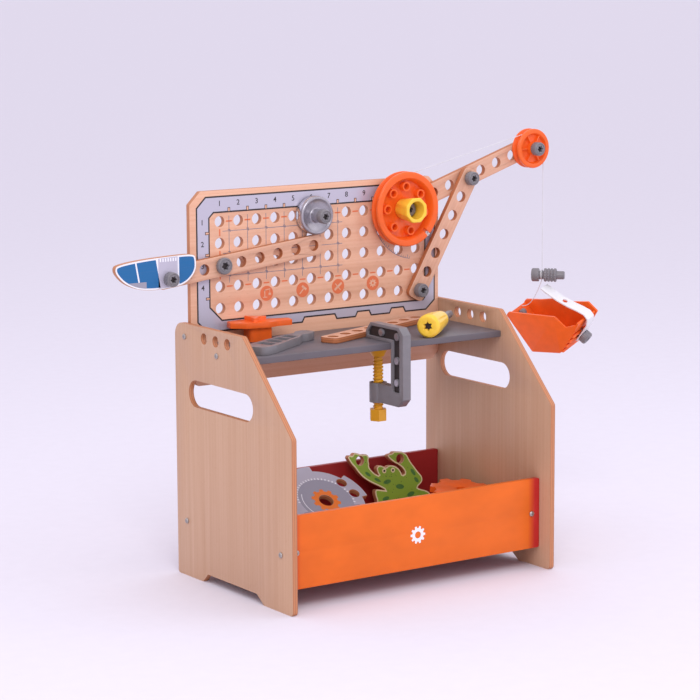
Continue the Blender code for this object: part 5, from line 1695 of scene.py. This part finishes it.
wheel_x, wheel_z = 0.0, 0.0625
badge_face = facing_front(wheel_x, BOX_FRONT, wheel_z)
prints("box_gear_print", [rounded(toothed(0.0078, 0.0102, 10), 0.0006, 3)], "ink_white", "box_front_panel",
       badge_face, 1, [circle(0, 0, 0.0040, 40)])  # fmt: skip

shuttle_face = shuttle_place @ moved(0, 0, PLY)
prints("shuttle_white", [grown(shuttle_outline, -0.0004)], "ink_white", "shuttle", shuttle_face, 1,
       [circle(0, 0, HOLE_R + 0.0003)])  # fmt: skip


def clipped(points, axis, low, high):
    """The part of an outline between two values along one axis."""
    for limit, sign in ((low, 1), (high, -1)):
        kept = []
        for a, b in zip(points, points[1:] + points[:1]):
            in_a, in_b = (a[axis] - limit) * sign >= 0, (b[axis] - limit) * sign >= 0
            if in_a:
                kept.append(a)
            if in_a != in_b:
                share = (limit - a[axis]) / (b[axis] - a[axis])
                kept.append(tuple(p + share * (q - p) for p, q in zip(a, b)))
        points = kept
    return points


def leaned(points, slope):
    return [(x + slope * y, y) for x, y in points]


inner_line = grown(shuttle_outline, -0.0022)
slope = 0.18
leant = leaned(inner_line, slope)
nose = leaned(clipped(leant, 0, -0.080, -0.0405), -slope)
middle = leaned(clipped(leant, 0, -0.0385, -0.0135), -slope)
ring = clipped(grown(shuttle_outline, -0.0012), 0, -0.0145, 0.0105)
tail = clipped(inner_line, 0, 0.0125, 0.040)
prints("shuttle_nose", [nose], "ink_sea", "shuttle", shuttle_face, 2)
prints("shuttle_middle", [middle], "ink_sea", "shuttle", shuttle_face, 2)
prints("shuttle_ring", [ring], "ink_silver", "shuttle", shuttle_face, 2, [circle(0, 0, HOLE_R + 0.0003)])
prints("shuttle_tail", [tail], "ink_sea", "shuttle", shuttle_face, 2)
teeth = [rectangle(-0.0125 + 0.0033 * i, 0.0200, -0.0108 + 0.0033 * i, 0.0238) for i in range(7)]
prints("shuttle_teeth", teeth, "ink_white", "shuttle", shuttle_face, 3)
keel = clipped(clipped(grown(shuttle_outline, -0.0020), 0, -0.0660, -0.0300), 1, -0.0120, -0.0010)
prints("shuttle_keel", [keel], "ink_grey", "shuttle", shuttle_face, 3)

frog_face = frog_place @ moved(0, 0, PLY)
frog_rims = [circle(x, z - BOX_STANDS, 0.0060, 32) for x, z in FROG_HOLES]
prints("frog_cream", [grown(frog_outline, -0.0004)], "ink_cream", "frog", frog_face, 1, frog_rims)
raw_frog = [(x, z - BOX_STANDS) for x, z in smooth(FROG, 1)]
prints("frog_green", [grown(raw_frog, -0.0018)], "ink_green", "frog", frog_face, 2, frog_rims)
FROG_SPOTS = (
    (0.0450, 0.1010, 0.0042, 0.0016, -40), (0.0560, 0.0925, 0.0046, 0.0018, -38),
    (0.0690, 0.0840, 0.0046, 0.0018, -30), (0.0960, 0.1075, 0.0030, 0.0020, 20),
    (0.1150, 0.1020, 0.0044, 0.0020, -62), (0.1220, 0.0870, 0.0050, 0.0022, -55),
    (0.1080, 0.0960, 0.0030, 0.0020, -30), (0.1260, 0.0770, 0.0042, 0.0022, -50),
    (0.0830, 0.0800, 0.0055, 0.0026, 5), (0.1010, 0.0720, 0.0060, 0.0030, -10),
    (0.0790, 0.0600, 0.0050, 0.0026, 10), (0.1160, 0.0610, 0.0056, 0.0028, 12),
)  # fmt: skip


def oval(x, y, long, short, degrees, sides=28):
    t = math.radians(degrees)
    points = []
    for i in range(sides):
        u = 2 * math.pi * i / sides
        a, b = long * math.cos(u), short * math.sin(u)
        points.append((x + a * math.cos(t) - b * math.sin(t), y + a * math.sin(t) + b * math.cos(t)))
    return points


green_area = grown(raw_frog, -0.0030)
green_sides = [(Vector(a), Vector(b)) for a, b in zip(green_area, green_area[1:] + green_area[:1])]
spots = []
for x, z, long, short, degrees in FROG_SPOTS:
    spot = oval(x, z - BOX_STANDS, long, short, degrees)
    if all(within(Vector(point), green_sides) for point in spot):
        spots.append(spot)
prints("frog_spots", spots, "ink_moss", "frog", frog_face, 3)
random.seed(11)
dots = []
while len(dots) < 60:
    at = Vector((random.uniform(0.030, 0.145), random.uniform(0.0, 0.090)))
    if within(at, green_sides):
        dots.append(circle(at.x, at.y, random.uniform(0.0003, 0.0005), 8))
prints("frog_dots", dots, "ink_black", "frog", frog_face, 4)
eyes = [(0.0799, 0.0937), (0.0925, 0.0930)]
prints("frog_eye_whites", [circle(x, z - BOX_STANDS, 0.0030, 32) for x, z in eyes], "ink_cream", "frog",
       frog_face, 5)  # fmt: skip
prints("frog_eye_pupils", [circle(x, z - BOX_STANDS - 0.0002, 0.0014, 24) for x, z in eyes], "ink_black",
       "frog", frog_face, 6)  # fmt: skip

PLATE_HOLES_R = 0.0425
PLATE_SCALE_R = (0.0345, 0.0372)  # inner and outer ends of its scale lines
plate_face = plate_place @ moved(0, 0, PLY)
plate_holes = [circle(0.0, PLATE_MIDDLE, 0.0092, 48)]
for turn in map(math.radians, (6, 34)):
    at = (PLATE_HOLES_R * math.cos(turn), PLATE_MIDDLE + PLATE_HOLES_R * math.sin(turn))
    plate_holes.append(circle(*at, HOLE_R + 0.0003))
prints("plate_rim_lilac", [grown(plate_outline, -0.0004)], "ink_silver", "round_plate", plate_face, 1,
       plate_holes)  # fmt: skip
inner_disc = [
    (STEM - 0.004, 0.003),
    (STEM - 0.004, PLATE_MIDDLE - 0.014),
    *plate_arc(PLATE_SCALE_R[0], -22, 202, 72),
    (-STEM + 0.004, PLATE_MIDDLE - 0.014),
    (-STEM + 0.004, 0.003),
]
prints("plate_grey", [inner_disc], "ink_grey", "round_plate", plate_face, 2, plate_holes[:1])
scale_teeth = []
for i in range(28):
    t = math.radians(-14 + 7 * i)
    a = (PLATE_SCALE_R[0] * math.cos(t), PLATE_MIDDLE + PLATE_SCALE_R[0] * math.sin(t))
    b = (PLATE_SCALE_R[1] * math.cos(t), PLATE_MIDDLE + PLATE_SCALE_R[1] * math.sin(t))
    scale_teeth.append(line(*a, *b, 0.0016))
hole_spans = [t for t in scale_teeth if min(math.hypot(t[2][0] - h[0][0] + HOLE_R, t[2][1] - h[0][1])
                                            for h in plate_holes[1:]) > 0.0085]  # fmt: skip
prints("plate_scale", hole_spans, "ink_white", "round_plate", plate_face, 3)
prints("plate_arc_line", [arc_band(0, PLATE_MIDDLE, 0.0300, 0.0009, 150, 215)], "ink_white", "round_plate",
       plate_face, 3)  # fmt: skip
plate_gear = [(x, y + PLATE_MIDDLE) for x, y in rounded(toothed(0.0150, 0.0182, 10, 0.2), 0.0008, 2)]
prints("plate_gear_print", [plate_gear], "ink_gear", "round_plate", plate_face, 3, plate_holes[:1])

# ---- Floor, light and camera

FLOOR_REACH = 60.0  # far enough out for its edge to lie above the camera's view
CLIP_END = 300.0
STUDIO_AIR = (0.80, 0.77, 0.85, 1)
STUDIO_STRENGTH = 1.2
LIGHT_TARGET = Vector((0, 0, 0.2))

floor_mesh = bpy.data.meshes.new("floor")
floor_corners = [(x * FLOOR_REACH, y * FLOOR_REACH, 0) for x, y in ((-1, -1), (1, -1), (1, 1), (-1, 1))]
floor_mesh.from_pydata(floor_corners, [], [(0, 1, 2, 3)])
ground = bpy.data.objects.new("floor", floor_mesh)
bpy.context.scene.collection.objects.link(ground)
floor_finish = Finish("floor_paper", roughness=0.85, specular_ior_level=0.2)
fibre = floor_finish.noise(floor_finish.stretched((0.02, 0.02, 0.02)), 2)
floor_finish.colour(floor_finish.mix(fibre, rgb(226, 222, 232), rgb(230, 226, 236)))
ground.data.materials.append(floor_finish.material)

bpy.context.scene.view_settings.view_transform = "Standard"
world = bpy.data.worlds.new("studio")
bpy.context.scene.world = world
world.use_nodes = True
world.node_tree.nodes["Background"].inputs["Color"].default_value = STUDIO_AIR
world.node_tree.nodes["Background"].inputs["Strength"].default_value = STUDIO_STRENGTH


def soft_light(name, at, power, size):
    lamp = bpy.data.lights.new(name, "AREA")
    lamp.energy = power
    lamp.size = size
    holder = bpy.data.objects.new(name, lamp)
    bpy.context.scene.collection.objects.link(holder)
    holder.rotation_euler = (LIGHT_TARGET - Vector(at)).to_track_quat("-Z", "Y").to_euler()
    holder.location = at


soft_light("key_light", (-1.1, -1.7, 1.9), 18, 1.0)
soft_light("fill_light", (1.6, -1.3, 1.2), 6, 1.6)
soft_light("top_light", (0.1, 0.2, 2.2), 5, 1.5)

camera_data = bpy.data.cameras.new("camera")
camera_data.lens = LENS
camera_data.clip_end = CLIP_END
camera = bpy.data.objects.new("camera", camera_data)
bpy.context.scene.collection.objects.link(camera)
down = CAMERA_FORWARD.cross(CAMERA_RIGHT)
turned = Matrix((CAMERA_RIGHT, -down, -CAMERA_FORWARD)).transposed()
camera.matrix_world = Matrix.Translation(CAMERA_AT) @ turned.to_4x4()
bpy.context.scene.camera = camera

bpy.context.view_layer.update()
